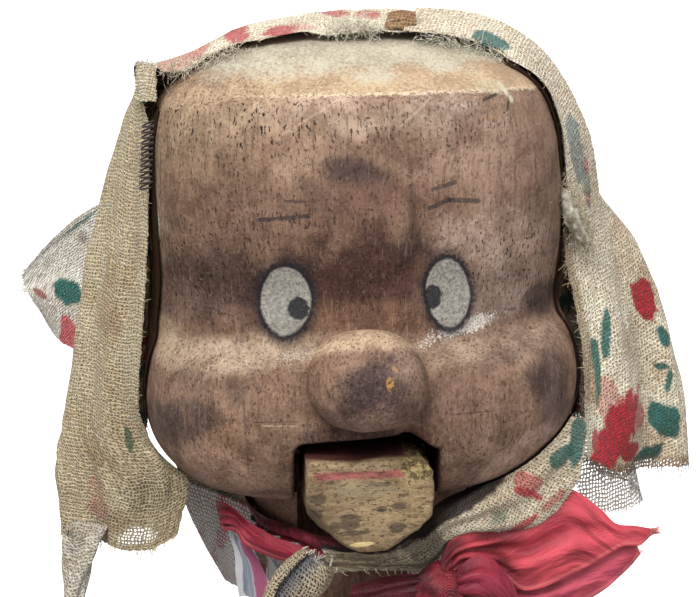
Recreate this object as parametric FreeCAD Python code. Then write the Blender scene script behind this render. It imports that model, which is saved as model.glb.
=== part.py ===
import FreeCAD, Part

# A hand puppet with a carved wooden head, a jaw that moves on a steel pin, a cloth headscarf tied under
# the chin, a satin ribbon tied in a bow round the neck, and a cotton glove body with wooden hands.
# The operator's middle finger goes up the bore in the neck and lifts the tail of the jaw lever, which
# drops the jaw; a small spring draws it up again. Two other fingers go into the sleeves.
# The origin is at the centre of the finger bore's mouth, at the foot of the neck. +Z is up, the face
# looks along -Y, and left and right are the viewer's, so the left side is at -X. Sizes are millimetres.

import math
import os

# Head block, carved in one piece, with a slot from below for the jaw
head_width = 118.0
head_front = 51.0
head_back = 46.0
head_height = 120.0
mouth_slot_width = 36.4
mouth_slot_height = 18.0
mouth_slot_back = 2.0
lever_room_width = 17.0
lever_room_back = 20.0
lever_room_height = 17.0

# Neck, turned, with a tenon glued and pegged into the head
neck_length = 50.0
neck_top_radius = 33.0
neck_waist_radius = 24.5
neck_waist_height = 27.0
neck_foot_radius = 27.0
neck_foot_height = 4.0
tenon_radius = 24.0
tenon_length = 11.0
finger_bore_radius = 11.5
finger_bore_length = 28.0
peg_radius = 2.5
peg_length = 30.0
peg_spread = 30.0
peg_start = 6.0
glue_gap = 0.1

# Nose, a knob on a dowel
nose_width = 31.0
nose_height = 25.5
nose_reach = 16.0
nose_centre_height = 36.0
nose_seat_depth = 4.0
nose_dowel_radius = 3.0
nose_dowel_length = 18.0

# Jaw, its pin, its lever and its spring
jaw_width = 32.5
jaw_top_height = 15.0
jaw_drop = 9.0
jaw_shoulder_drop = 2.5
jaw_chin_width = 10.0
jaw_chin_depth = 7.0
jaw_face = 55.5
jaw_side_shift = -0.6
jaw_edge = 2.0
jaw_heel = 9.0
jaw_rear_drop = 1.6
jaw_pin_radius = 1.6
jaw_pin_length = 92.0
jaw_pin_forward = 12.0
jaw_pin_height = 7.5
pin_grip = 0.02
pin_running_gap = 0.08
lever_width = 12.0
lever_thickness = 1.5
lever_front = 31.0
lever_tail = 18.5
screw_radius = 1.1
screw_length = 7.0
screw_head_radius = 2.3
screw_head_height = 1.1
screw_spacing = 8.0
screw_edge = 1.5
spring_radius = 1.9
spring_wire_radius = 0.3
spring_turns = 9
spring_pitch = 1.1
spring_lead = 1.0
spring_bend = 1.2
spring_eye_radius = 0.5
anchor_pin_radius = 0.7
anchor_pin_length = 36.0
anchor_pin_height = 2.5

# Headscarf, coarse open cloth
cloth_thickness = 2.0
cloth_gap = 0.4
fall_gap = 0.8
layer_gap = 0.3
hood_front_edge = 20.0
hood_foot_height = 76.0
right_drape_reach = 33.0
right_drape_foot = 3.0
right_drape_turns = (-28.0, 34.0)
under_layer_top = 38.0
under_layer_reach = 19.0
under_layer_foot = 13.0
under_layer_turns = (-22.0, 26.0)
left_fall_reach = 22.0
left_fall_foot = 18.0
left_fall_turns = (206.0, 154.0)
back_fall_reach = 12.0
back_fall_foot = 62.0
back_fall_turns = (38.0, 142.0)
back_fall_side_foot = 4.0
back_fall_tip_width = 14.0
corner_height = 53.0
corner_spread = 42.0
corner_tip_spread = 7.0
corner_thickness = 3.0
corner_reach = 34.0
corner_turn = 148.0
corner_root_rise = 2.0
twist_top_width = 16.0
twist_neck_width = 7.0
twist_foot_width = 9.0
twist_thickness = 5.0
twist_length = 52.0
twist_side = 74.0
twist_lean = 7.0
twist_forward = 14.0
twist_forward_lean = 8.0
chin_band_thickness = 4.0
chin_band_clearance = 8.0
chin_band_wide = 16.0
chin_band_narrow = 7.0
slot_overlap = 3.0
chin_band_back = 17.0
chin_band_seam_rise = 6.0
chin_knot_width = 14.0
chin_knot_depth = 9.0
chin_knot_side = 18.0
chin_knot_length = 26.0
chin_knot_lean = 12.0

# Satin ribbon tied round the neck, gathered to a narrow strip there and full width in the bow
ribbon_width = 25.0
ribbon_thickness = 1.6
ribbon_strip_width = 5.0
ribbon_strip_thickness = 2.2
ribbon_strip_drop = 9.7
ribbon_tilt = 12.0
ribbon_knot_size = 13.0
ribbon_knot_depth = 10.0
ribbon_knot_side = 15.5
ribbon_knot_forward = 42.5
ribbon_knot_height = 19.0
ribbon_loop_thickness = 3.0
ribbon_loop_length = 48.0
ribbon_tail_length = 40.0

# Glove body, a cotton dress with a slit at the throat
dress_thickness = 1.5
dress_length = 205.0
dress_neck_seam = 0.8
dress_folds = 20
collar_gap = 0.3
collar_height = 34.0
throat_edge = 8.0
throat_foot = 8.0
tack_turns = [15.0, 65.0, 115.0, 165.0]
tack_height = 18.0
tack_radius = 0.6
tack_length = 7.0
tack_head_radius = 2.2
tack_head_thickness = 0.8
hem_band_height = 12.0
hem_band_thickness = 1.6

# Shoulders, sleeves and hands
shoulder_spread = 106.0
shoulder_drop = 17.0
puff_radius = 19.0
puff_gap = 0.5
puff_mouth_radius = 13.5
puff_mouth_angle = 143.0
sleeve_radius = 12.6
sleeve_thickness = 1.2
sleeve_length = 62.0
arm_droop = 60.0
cuff_height = 7.0
cuff_thickness = 1.6
wrist_length = 14.0
wrist_shown = 2.0
palm_length = 30.0
palm_width = 20.0
palm_thickness = 10.0
thumb_length = 15.0
thumb_radius = 3.2
thumb_spread = 38.0

# Outline of the head, as shares of its height and of its half width, front and back reach: the
# underside, the cheeks, the hollow that holds the eyes, the forehead and the domed top
HEAD_LEVELS = [
    (0.00, 0.68, 0.74, 0.68),
    (0.04, 0.84, 0.87, 0.80),
    (0.10, 0.94, 0.95, 0.88),
    (0.20, 1.00, 0.99, 0.94),
    (0.30, 0.99, 0.98, 0.97),
    (0.37, 0.96, 0.91, 0.98),
    (0.44, 0.94, 0.82, 0.99),
    (0.51, 0.94, 0.82, 1.00),
    (0.64, 0.945, 0.88, 1.00),
    (0.82, 0.93, 0.86, 0.96),
    (0.91, 0.85, 0.74, 0.88),
    (0.97, 0.68, 0.56, 0.72),
    (1.00, 0.44, 0.34, 0.48),
]
NOSE_STAGES = [0.0, 0.25, 0.5, 0.72, 0.88, 0.97]
HEAD_SQUARENESS = 3.0
OUTLINE_POINTS = 20

# The chin band on its way down from the cheek: share of the head's half width, how far ahead of its
# lowest stretch, how far below the head's foot, and width
CHIN_BAND_STAGES = [(0.78, 2.0, -1.5, 17.0), (0.56, 3.5, 6.0, 12.0), (0.34, 2.0, 12.0, 9.0)]

# The twisted tail on its way down: share of its length, share of its lean, and width
TWIST_STAGES = [(0.0, 0.0, twist_top_width), (0.3, 0.4, twist_neck_width), (1.0, 1.0, twist_foot_width)]

# Outline of the dress: height over the neck's foot, half width, half depth, squareness and how far
# its folds stand out and fall back
DRESS_LEVELS = [
    (-dress_length, 84.0, 66.0, 2.3, 2.3),
    (-150.0, 69.0, 55.0, 2.3, 2.0),
    (-90.0, 53.0, 44.0, 2.3, 1.6),
    (-48.0, 46.5, 37.0, 2.3, 1.2),
    (-22.0, 45.0, 34.0, 2.3, 0.8),
    (-9.0, 38.0, 31.5, 2.2, 0.4),
]

# How far the back fall has come out, and how deep its folds are, on the way down
FALL_STAGES = [(0.0, 0.0, 0.0), (0.35, 0.55, 0.8), (0.7, 0.9, 1.6), (1.0, 1.0, 2.2)]

# Where the side falls have rows between top and foot, as shares of the head's height, and then the
# shares of its reach at which each one stands out, from its front edge to its back edge
SIDE_FALL_ROWS = [0.51, 0.37, 0.30, 0.20]
RIGHT_DRAPE_SWELLS = [0.0, 0.43, 0.58, 0.98, 0.94, 0.88, 0.80, 0.55, 0.0]
UNDER_LAYER_SWELLS = [0.0, 0.40, 0.70, 0.95, 1.00, 0.95, 0.85, 0.60, 0.0]
LEFT_FALL_SWELLS = [0.0, 0.12, 0.60, 0.92, 0.98, 0.76, 0.57, 0.40, 0.0]
FAR = 300.0

X_AXIS = FreeCAD.Vector(1, 0, 0)
Y_AXIS = FreeCAD.Vector(0, 1, 0)
Z_AXIS = FreeCAD.Vector(0, 0, 1)

# Places that several pieces share
head_foot = neck_length
hood_foot = head_foot + hood_foot_height
jaw_pin_z = head_foot + jaw_pin_height
jaw_foot = head_foot - jaw_drop
lever_top = head_foot - jaw_rear_drop
lever_foot = lever_top - lever_thickness
spring_y = (finger_bore_radius + lever_room_back) / 2
anchor_pin_z = finger_bore_length + anchor_pin_height
shoulder_x = shoulder_spread / 2
fall_lie = fall_gap + cloth_thickness / 2
chin_band_top = jaw_foot - chin_band_clearance
chin_band_forward = jaw_face - chin_band_back


def vec(x, y, z):
    return FreeCAD.Vector(x, y, z)


def box(low, high):
    """A block between two opposite corners."""
    return Part.makeBox(high[0] - low[0], high[1] - low[1], high[2] - low[2], vec(*low))


def cylinder(radius, length, foot, axis):
    return Part.makeCylinder(radius, length, foot, axis)


def prism(points, run):
    """A polygon moved along run to make a solid."""
    corners = [vec(*point) for point in points]
    face = Part.Face(Part.makePolygon(corners + corners[:1]))
    return face.extrude(run)


def turned(profile):
    """A solid turned round the Z axis from pairs of radius and height."""
    corners = [vec(radius, 0, z) for radius, z in profile]
    face = Part.Face(Part.makePolygon(corners + corners[:1]))
    return face.revolve(vec(0, 0, 0), Z_AXIS, 360)


def round_ended_pin(root_radius, tip_radius, length):
    """A tapered pin that stands on the origin along Z and ends in half a ball."""
    root = vec(root_radius, 0, 0)
    shoulder = vec(tip_radius, 0, length)
    tip = vec(0, 0, length + tip_radius)
    middle = vec(tip_radius * math.sqrt(0.5), 0, length + tip_radius * math.sqrt(0.5))
    edges = [
        Part.makeLine(vec(0, 0, 0), root),
        Part.makeLine(root, shoulder),
        Part.Arc(shoulder, middle, tip).toShape(),
        Part.makeLine(tip, vec(0, 0, 0)),
    ]
    return Part.Face(Part.Wire(edges)).revolve(vec(0, 0, 0), Z_AXIS, 360)


def mirrored(shape):
    return shape.mirror(vec(0, 0, 0), X_AXIS)


def signed_power(value, exponent):
    return math.copysign(abs(value) ** exponent, value)


def outline_point(half_width, front, back, z, squareness, degrees):
    """A point of a closed outline round the Z axis, between an ellipse and a rectangle in shape."""
    turn = math.radians(degrees)
    reach = back if math.sin(turn) > 0 else front
    x = half_width * signed_power(math.cos(turn), 2 / squareness)
    y = reach * signed_power(math.sin(turn), 2 / squareness)
    return vec(x, y, z)


def closed_curve(points):
    """A smooth closed curve through the points."""
    curve = Part.BSplineCurve()
    curve.interpolate(points, PeriodicFlag=True)
    return Part.Wire(curve.toShape())


def outline_ring(half_width, front, back, z, squareness):
    turns = [360 * (step + 0.5) / OUTLINE_POINTS for step in range(OUTLINE_POINTS)]
    return closed_curve(
        [outline_point(half_width, front, back, z, squareness, turn) for turn in turns]
    )


def folded_ring(half_width, half_depth, z, squareness, fold):
    """An outline whose folds stand out and fall back by fold, each drawn by four points."""
    steps = 4 * dress_folds
    points = []
    for step in range(steps):
        grow = fold * math.cos(math.pi * step / 2)
        wide = half_width + grow
        deep = half_depth + grow
        points.append(outline_point(wide, deep, deep, z, squareness, 360 * step / steps))
    return closed_curve(points)


def head_form(grow=0.0):
    """The head block with no holes, grown all round by grow."""
    foot = head_foot - grow
    height = head_height + 2 * grow
    rings = []
    for share, wide, ahead, behind in HEAD_LEVELS:
        half_width = wide * head_width / 2 + grow
        front = ahead * head_front + grow
        back = behind * head_back + grow
        rings.append(outline_ring(half_width, front, back, foot + share * height, HEAD_SQUARENESS))
    return Part.makeLoft(rings, True, False)


def oval_ring(width, height, centre):
    """An upright oval that faces along Y."""
    ring = Part.Wire(Part.Ellipse(vec(0, 0, 0), width / 2, height / 2).toShape())
    ring.rotate(vec(0, 0, 0), X_AXIS, 90)
    ring.translate(centre)
    return ring


def oval_bar(width, height, centre, run):
    """A bar of oval section along Y, from centre by run."""
    return Part.Face(oval_ring(width, height, centre)).extrude(vec(0, run, 0))


def mechanism_room():
    """The slot that the jaw swings in and the narrower room behind it for the lever and spring."""
    half_slot = mouth_slot_width / 2
    half_room = lever_room_width / 2
    slot = box(
        (-half_slot, -FAR, finger_bore_length),
        (half_slot, mouth_slot_back, head_foot + mouth_slot_height),
    )
    room = box(
        (-half_room, 0, finger_bore_length),
        (half_room, lever_room_back, head_foot + lever_room_height),
    )
    return slot.fuse(room)


def jaw_pin_bar(radius, length):
    return cylinder(radius, length, vec(-length / 2, -jaw_pin_forward, jaw_pin_z), X_AXIS)


def peg_bars(radius, length):
    """Two pegs from the back of the head forward into the tenon."""
    height = head_foot + tenon_length / 2
    return [
        cylinder(radius, length, vec(side * peg_spread / 2, peg_start, height), Y_AXIS)
        for side in (-1, 1)
    ]


def anchor_pin_bar(radius, length):
    return cylinder(radius, length, vec(-length / 2, spring_y, anchor_pin_z), X_AXIS)


def nose_seat():
    """The centre of the flat that the nose's back stands on."""
    return vec(0, -(head_front - nose_seat_depth), head_foot + nose_centre_height)


def make_head():
    head = head_form()
    socket = cylinder(tenon_radius + glue_gap, tenon_length + glue_gap, vec(0, 0, head_foot), Z_AXIS)
    seat = oval_bar(nose_width + 2 * glue_gap, nose_height + 2 * glue_gap, nose_seat(), -FAR)
    dowel_hole = cylinder(
        nose_dowel_radius + glue_gap, nose_dowel_length / 2 + glue_gap, nose_seat(), Y_AXIS
    )
    holes = [mechanism_room(), socket, seat, dowel_hole, jaw_pin_bar(jaw_pin_radius + pin_grip, FAR)]
    holes += peg_bars(peg_radius + glue_gap, peg_length + glue_gap)
    for hole in holes:
        head = head.cut(hole)
    return head


def make_nose():
    """A round knob whose oval foot stands in its seat, thinning to a blunt tip."""
    rings = []
    for share in NOSE_STAGES:
        reach = nose_seat_depth + share * nose_reach
        size = math.sqrt(1 - share * share)
        rings.append(oval_ring(nose_width * size, nose_height * size, nose_seat() - vec(0, reach, 0)))
    foot = oval_bar(nose_width, nose_height, nose_seat(), -nose_seat_depth)
    nose = foot.fuse(Part.makeLoft(rings, True, False))
    depth = nose_dowel_length / 2 + glue_gap
    hole = cylinder(nose_dowel_radius + glue_gap, depth, nose_seat() - vec(0, depth, 0), Y_AXIS)
    return nose.cut(hole)


def make_nose_dowel():
    start = nose_seat() - vec(0, nose_dowel_length / 2, 0)
    return cylinder(nose_dowel_radius, nose_dowel_length, start, Y_AXIS)


def neck_profile(lift, foot):
    """Radius and height pairs up the neck's side, moved out by lift and starting at foot."""
    bevel = neck_foot_radius - neck_waist_radius
    return [
        (neck_foot_radius + lift, foot),
        (neck_foot_radius + lift, neck_foot_height),
        (neck_waist_radius + lift, neck_foot_height + bevel),
        (neck_waist_radius + lift, neck_waist_height),
        (neck_top_radius + lift, neck_length),
    ]


def make_neck():
    tenon_top = neck_length + tenon_length
    tenon = [(tenon_radius, neck_length), (tenon_radius, tenon_top), (0, tenon_top)]
    neck = turned([(0, 0)] + neck_profile(0, 0) + tenon)
    holes = [
        cylinder(finger_bore_radius, finger_bore_length, vec(0, 0, 0), Z_AXIS),
        mechanism_room(),
        jaw_pin_bar(jaw_pin_radius + pin_grip, FAR),
        anchor_pin_bar(anchor_pin_radius + pin_grip, FAR),
    ]
    holes += peg_bars(peg_radius + glue_gap, peg_length)
    holes += tack_bars(tack_radius + pin_grip, collar_face(), tack_length + glue_gap)
    for hole in holes:
        neck = neck.cut(hole)
    return neck


def make_neck_pegs():
    return Part.makeCompound(peg_bars(peg_radius, peg_length))


def screw_places():
    first = -lever_front + screw_head_radius + screw_edge
    return [first, first + screw_spacing]


def make_jaw():
    """The jaw block: a shield shape from the front, cut to a wedge from the side, on its pin."""
    left = -jaw_width / 2 + jaw_side_shift
    right = jaw_width / 2 + jaw_side_shift
    chin = jaw_chin_width / 2
    top = head_foot + jaw_top_height
    shoulder = head_foot - jaw_shoulder_drop
    shield = [
        (left, -FAR, top),
        (right, -FAR, top),
        (right, -FAR, shoulder),
        (jaw_side_shift + chin, -FAR, jaw_foot),
        (jaw_side_shift - chin, -FAR, jaw_foot),
        (left, -FAR, shoulder),
    ]
    heel = -jaw_pin_forward + jaw_heel
    wedge = [
        (-FAR, -jaw_face, top - jaw_edge),
        (-FAR, -jaw_face + jaw_edge, top),
        (-FAR, heel, top),
        (-FAR, heel, lever_top),
        (-FAR, -lever_front, lever_top),
        (-FAR, -jaw_face + jaw_edge + jaw_chin_depth, jaw_foot),
        (-FAR, -jaw_face + jaw_edge, jaw_foot),
        (-FAR, -jaw_face, jaw_foot + jaw_edge),
    ]
    block = prism(shield, vec(0, 2 * FAR, 0)).common(prism(wedge, vec(2 * FAR, 0, 0)))
    jaw = block.cut(jaw_pin_bar(jaw_pin_radius + pin_running_gap, FAR))
    for y in screw_places():
        foot = vec(jaw_side_shift, y, lever_top)
        jaw = jaw.cut(cylinder(screw_radius + pin_grip, screw_length, foot, Z_AXIS))
    return jaw


def make_jaw_pin():
    return jaw_pin_bar(jaw_pin_radius, jaw_pin_length)


def make_jaw_lever():
    """A steel strip under the jaw whose tail, behind the pin, meets the fingertip and the spring."""
    half = lever_width / 2
    strip = box(
        (jaw_side_shift - half, -lever_front, lever_foot),
        (jaw_side_shift + half, lever_tail, lever_top),
    )
    for y in screw_places():
        hole_foot = vec(jaw_side_shift, y, 0)
        strip = strip.cut(cylinder(screw_radius + pin_running_gap, FAR, hole_foot, Z_AXIS))
    eye_foot = vec(-spring_radius, spring_y - spring_bend, 0)
    return strip.cut(cylinder(spring_eye_radius, FAR, eye_foot, Z_AXIS))


def make_lever_screws():
    """Two flat-headed screws up through the lever into the jaw."""
    screws = []
    shank_length = screw_length + lever_thickness - pin_running_gap
    for y in screw_places():
        shank = cylinder(screw_radius, shank_length, vec(jaw_side_shift, y, lever_foot), Z_AXIS)
        head_place = vec(jaw_side_shift, y, lever_foot - screw_head_height)
        head = cylinder(screw_head_radius, screw_head_height, head_place, Z_AXIS)
        screws.append(shank.fuse(head))
    return Part.makeCompound(screws)


def make_spring_anchor_pin():
    return anchor_pin_bar(anchor_pin_radius, anchor_pin_length)


def make_jaw_spring():
    """A coil of wire whose ends turn upright, past the anchor pin below and through the lever above."""
    coil_top = lever_foot - spring_bend - spring_lead
    coil_foot = coil_top - spring_pitch * spring_turns

    def on_coil(turn):
        """A point of the coil, where turn counts whole turns."""
        angle = math.pi + 2 * math.pi * turn
        x = spring_radius * math.cos(angle)
        y = spring_y + spring_radius * math.sin(angle)
        return vec(x, y, coil_foot + spring_pitch * turn)

    def bend(height, sign):
        """A quarter turn between the coil's end and an upright lead, below it or above it."""
        diagonal = spring_bend * math.sqrt(0.5)
        centre = vec(-spring_radius, spring_y, height + sign * spring_bend)
        outer = centre - vec(0, sign * spring_bend, 0)
        middle = centre - vec(0, sign * diagonal, sign * diagonal)
        return outer, middle, centre - vec(0, 0, sign * spring_bend)

    low_outer, low_middle, low_end = bend(coil_foot, -1)
    high_outer, high_middle, high_end = bend(coil_top, 1)
    foot = vec(low_outer.x, low_outer.y, anchor_pin_z - anchor_pin_radius)
    tip = vec(high_outer.x, high_outer.y, lever_top + spring_lead)
    edges = [Part.makeLine(foot, low_outer), Part.Arc(low_outer, low_middle, low_end).toShape()]
    for quarter in range(4 * spring_turns):
        start, middle, end = (on_coil((quarter + part / 2) / 4) for part in range(3))
        edges.append(Part.Arc(start, middle, end).toShape())
    edges.append(Part.Arc(high_end, high_middle, high_outer).toShape())
    edges.append(Part.makeLine(high_outer, tip))
    ring = Part.Wire(Part.Circle(foot, Z_AXIS, spring_wire_radius).toShape())
    print("jaw_spring: least gap between turns", round(spring_pitch - 2 * spring_wire_radius, 2))
    return Part.Wire(edges).makePipeShell([ring], True, False)


def offset_line(points, normal, distance):
    """Points moved sideways by distance, within the plane that normal stands on."""
    moved = []
    last = len(points) - 1
    for index, point in enumerate(points):
        run = points[min(index + 1, last)] - points[max(index - 1, 0)]
        side = run.cross(normal)
        side.normalize()
        moved.append(point + side * distance)
    return moved


def arc_chain(points):
    """Arcs through each three points in turn: end, middle, end."""
    return [
        Part.Arc(points[index], points[index + 1], points[index + 2]).toShape()
        for index in range(0, len(points) - 2, 2)
    ]


def strip_section(points, normal, thickness):
    """The closed outline of a folded cloth's edge that runs along the points."""
    one = offset_line(points, normal, thickness / 2)
    other = offset_line(points, normal, -thickness / 2)
    edges = arc_chain(one)
    edges.append(Part.makeLine(one[-1], other[-1]))
    edges += arc_chain(other[::-1])
    edges.append(Part.makeLine(other[0], one[0]))
    return Part.Wire(edges)


def cloth_panel(rows, normal, thickness):
    """Cloth with folds, ruled between rows of points that each lie in a plane square to normal."""
    return Part.makeLoft([strip_section(row, normal, thickness) for row in rows], True, True)


def rounded_bar_section(centre, long_way, short_way, length, thickness):
    """A closed outline with two straight sides and two round ends, each end of two quarter arcs."""
    half = thickness / 2
    reach = length / 2 - half
    diagonal = half * math.sqrt(0.5)
    edges = []
    for sign in (1, -1):
        along = long_way * sign
        across = short_way * sign
        end = centre + along * reach
        corner = end + across * half
        tip = end + along * half
        far_corner = end - across * half
        edges.append(Part.Arc(corner, end + (along + across) * diagonal, tip).toShape())
        edges.append(Part.Arc(tip, end + (along - across) * diagonal, far_corner).toShape())
        edges.append(Part.makeLine(far_corner, far_corner - along * 2 * reach))
    return Part.Wire(edges)


def rounded_bar(stations, long_way, short_way):
    """A soft bar lofted through stations of centre, length and thickness, all in parallel planes."""
    sections = [
        rounded_bar_section(vec(*centre), long_way, short_way, length, thickness)
        for centre, length, thickness in stations
    ]
    return Part.makeLoft(sections, True, True)


def head_reach_at(z):
    """Half width, front and back of the head at a height, and of its cheeks for all below them."""
    cheeks = max(HEAD_LEVELS, key=lambda level: level[1])
    share = max((z - head_foot) / head_height, cheeks[0])
    pairs = zip(HEAD_LEVELS, HEAD_LEVELS[1:])
    below, above = [pair for pair in pairs if pair[0][0] <= share][-1]
    part = (share - below[0]) / (above[0] - below[0])
    wide, ahead, behind = (below[index] + part * (above[index] - below[index]) for index in (1, 2, 3))
    return wide * head_width / 2, ahead * head_front, behind * head_back


def fall_row(z, turns, folds, reach, wave):
    """A row of a fall of cloth round the head: how far out it stands, with its folds on top."""
    half_width, front, back = head_reach_at(z)
    steps = 4 * folds
    row = []
    for step in range(steps + 1):
        share = step / steps
        degrees = turns[0] + share * (turns[1] - turns[0])
        swell = reach * math.sin(math.pi * share) ** 0.6 if 0 < step < steps else 0.0
        grow = fall_lie + swell + wave * math.sin(math.pi * step / 2)
        row.append(
            outline_point(half_width + grow, front + grow, back + grow, z, HEAD_SQUARENESS, degrees)
        )
    return row


def scarf_fall(top, foot, turns, folds, reach):
    """Cloth that hangs down round the head, close to it at the top and standing out below."""
    rows = [
        fall_row(top + share * (foot - top), turns, folds, reach * out, wave)
        for share, out, wave in FALL_STAGES
    ]
    return cloth_panel(rows, Z_AXIS, cloth_thickness)


def side_fall_row(z, turns, reach, swells):
    """A row of a side fall from its front edge to its back edge, standing out by shares of reach."""
    half_width, front, back = (size + fall_lie for size in head_reach_at(z))
    start, end = (
        outline_point(half_width, front, back, z, HEAD_SQUARENESS, turn) for turn in turns
    )
    row = []
    for index, swell in enumerate(swells):
        y = start.y + index / (len(swells) - 1) * (end.y - start.y)
        depth_share = abs(y) / (back if y > 0 else front)
        side = half_width * (1 - depth_share ** HEAD_SQUARENESS) ** (1 / HEAD_SQUARENESS)
        row.append(vec(math.copysign(side + swell * reach, start.x), y, z))
    return row


def side_fall(top, foot, turns, reach, swells):
    """Cloth that hangs beside the head in folds, close to it at its top and at both its edges."""
    heights = [head_foot + share * head_height for share in SIDE_FALL_ROWS]
    rows = []
    for z in [top] + [height for height in heights if foot < height < top] + [foot]:
        out = 1 - ((z - foot) / (top - foot)) ** 3.5
        rows.append(side_fall_row(z, turns, reach * out, swells))
    return cloth_panel(rows, Z_AXIS, cloth_thickness)


def make_scarf_hood():
    """The scarf over the crown, back from the brow and down to the ears."""
    hood = head_form(cloth_gap + cloth_thickness).cut(head_form(cloth_gap))
    hood = hood.cut(box((-FAR, -FAR, -FAR), (FAR, FAR, hood_foot)))
    return hood.cut(box((-FAR, -FAR, -FAR), (FAR, -hood_front_edge, FAR)))


def make_scarf_right_drape():
    top = hood_foot - layer_gap
    foot = head_foot - right_drape_foot
    return side_fall(top, foot, right_drape_turns, right_drape_reach, RIGHT_DRAPE_SWELLS)


def make_scarf_under_layer():
    top = head_foot + under_layer_top
    foot = head_foot - under_layer_foot
    return side_fall(top, foot, under_layer_turns, under_layer_reach, UNDER_LAYER_SWELLS)


def make_scarf_left_fall():
    top = hood_foot - layer_gap
    foot = head_foot - left_fall_foot
    return side_fall(top, foot, left_fall_turns, left_fall_reach, LEFT_FALL_SWELLS)


def make_scarf_back_fall():
    """The back of the scarf, cut to a corner that points down."""
    foot = head_foot - back_fall_foot
    fall = scarf_fall(hood_foot - layer_gap, foot, back_fall_turns, 4, back_fall_reach)
    side_foot = head_foot - back_fall_side_foot
    for side in (-1, 1):
        tip = side * back_fall_tip_width / 2
        edge = side * head_width
        waste = [(tip, 0, foot), (edge, 0, side_foot), (edge, 0, foot)]
        fall = fall.cut(prism(waste, vec(0, FAR, 0)))
    return fall


def make_scarf_back_corner():
    """The corner of the scarf that stands out behind the left side like a small sail."""
    z = head_foot + corner_height
    half_width, front, back = head_reach_at(z)
    lie = fall_lie + cloth_thickness
    high = z + corner_root_rise
    root = outline_point(half_width + lie, front + lie, back + lie, z, HEAD_SQUARENESS, corner_turn)
    stations = [
        ((root.x, root.y, high), corner_spread, corner_thickness),
        ((root.x - 0.5 * corner_reach, root.y, high), 0.75 * corner_spread, corner_thickness),
        ((root.x - corner_reach, root.y, z), corner_tip_spread, corner_thickness),
    ]
    return rounded_bar(stations, Z_AXIS, Y_AXIS)


def make_scarf_twist():
    """The twisted tail that hangs from the left fall's foot."""
    top = head_foot - left_fall_foot - layer_gap
    stations = []
    for share, lean, width in TWIST_STAGES:
        centre = (
            -twist_side - lean * twist_lean,
            -twist_forward - lean * twist_forward_lean,
            top - share * twist_length,
        )
        stations.append((centre, width, twist_thickness))
    return rounded_bar(stations, X_AXIS, Y_AXIS)


def right_drape_edge(z):
    """Where the right drape's front edge lies at a height."""
    half_width, front, back = (reach + fall_lie for reach in head_reach_at(z))
    return outline_point(half_width, front, back, z, HEAD_SQUARENESS, right_drape_turns[0])


def make_scarf_chin_band():
    """The scarf's right end, led from the drape's front edge down under the jaw to the knot."""
    low = chin_band_top - chin_band_narrow / 2
    seam = right_drape_edge(head_foot + chin_band_seam_rise)
    seam_y = seam.y - (cloth_thickness + chin_band_thickness) / 2 - layer_gap
    knot_side = -chin_knot_side + chin_knot_width / 2 + layer_gap
    stations = [((seam.x, seam_y, seam.z), chin_band_wide)]
    for share, ahead, drop, width in CHIN_BAND_STAGES:
        centre = (share * head_width / 2, -chin_band_forward - ahead, head_foot - drop)
        stations.append((centre, width))
    stations.append(((mouth_slot_width / 2 - slot_overlap, -chin_band_forward, low), chin_band_narrow))
    stations.append(((knot_side, -chin_band_forward, low), chin_band_narrow))
    return rounded_bar(
        [(centre, width, chin_band_thickness) for centre, width in stations], Z_AXIS, Y_AXIS
    )


def make_scarf_chin_knot():
    """The rolled end of the scarf, hanging from the left end of the chin band."""
    forward = -chin_band_forward
    stations = [
        ((-chin_knot_side, forward, chin_band_top), chin_knot_width - 1.0, chin_knot_depth - 1.0),
        (
            (-chin_knot_side - 0.4 * chin_knot_lean, forward, chin_band_top - 0.4 * chin_knot_length),
            chin_knot_width,
            chin_knot_depth,
        ),
        (
            (-chin_knot_side - chin_knot_lean, forward, chin_band_top - chin_knot_length),
            chin_knot_width - 2.0,
            chin_knot_depth - 1.0,
        ),
    ]
    return rounded_bar(stations, X_AXIS, Y_AXIS)


def collar_lift():
    return collar_gap + dress_thickness


def make_ribbon_band():
    """The ribbon's turn round the neck, gathered narrow, high at the back and low at the front."""
    inner = neck_profile(collar_gap, 0)
    outer = neck_profile(collar_gap + ribbon_strip_thickness, 0)
    tube = turned(outer + inner[::-1])
    half = ribbon_strip_width / 2
    slab = box((-FAR, -FAR, -half), (FAR, FAR, half))
    slab.rotate(vec(0, 0, 0), X_AXIS, ribbon_tilt)
    slab.translate(vec(0, 0, neck_length - ribbon_strip_drop))
    return tube.common(slab)


def make_ribbon_knot():
    """The knot in front of the neck, a little to the right."""
    half = ribbon_knot_size / 2
    y = -ribbon_knot_forward
    drawn_in = (0.7 * ribbon_knot_size, 0.6 * ribbon_knot_depth)
    stations = [
        ((ribbon_knot_side - half, y, ribbon_knot_height), *drawn_in),
        ((ribbon_knot_side, y, ribbon_knot_height), ribbon_knot_size, ribbon_knot_depth),
        ((ribbon_knot_side + half, y, ribbon_knot_height), *drawn_in),
    ]
    return rounded_bar(stations, Z_AXIS, Y_AXIS)


def bow_piece(stations, sign, thickness):
    """A loop or tail from one side of the knot: each station is run, back, rise and width."""
    start = ribbon_knot_side + sign * (ribbon_knot_size / 2 + layer_gap)
    placed = []
    for run, back, rise, width in stations:
        centre = (start + sign * run, back - ribbon_knot_forward, ribbon_knot_height + rise)
        placed.append((centre, width, thickness))
    return rounded_bar(placed, Z_AXIS, Y_AXIS)


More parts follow.
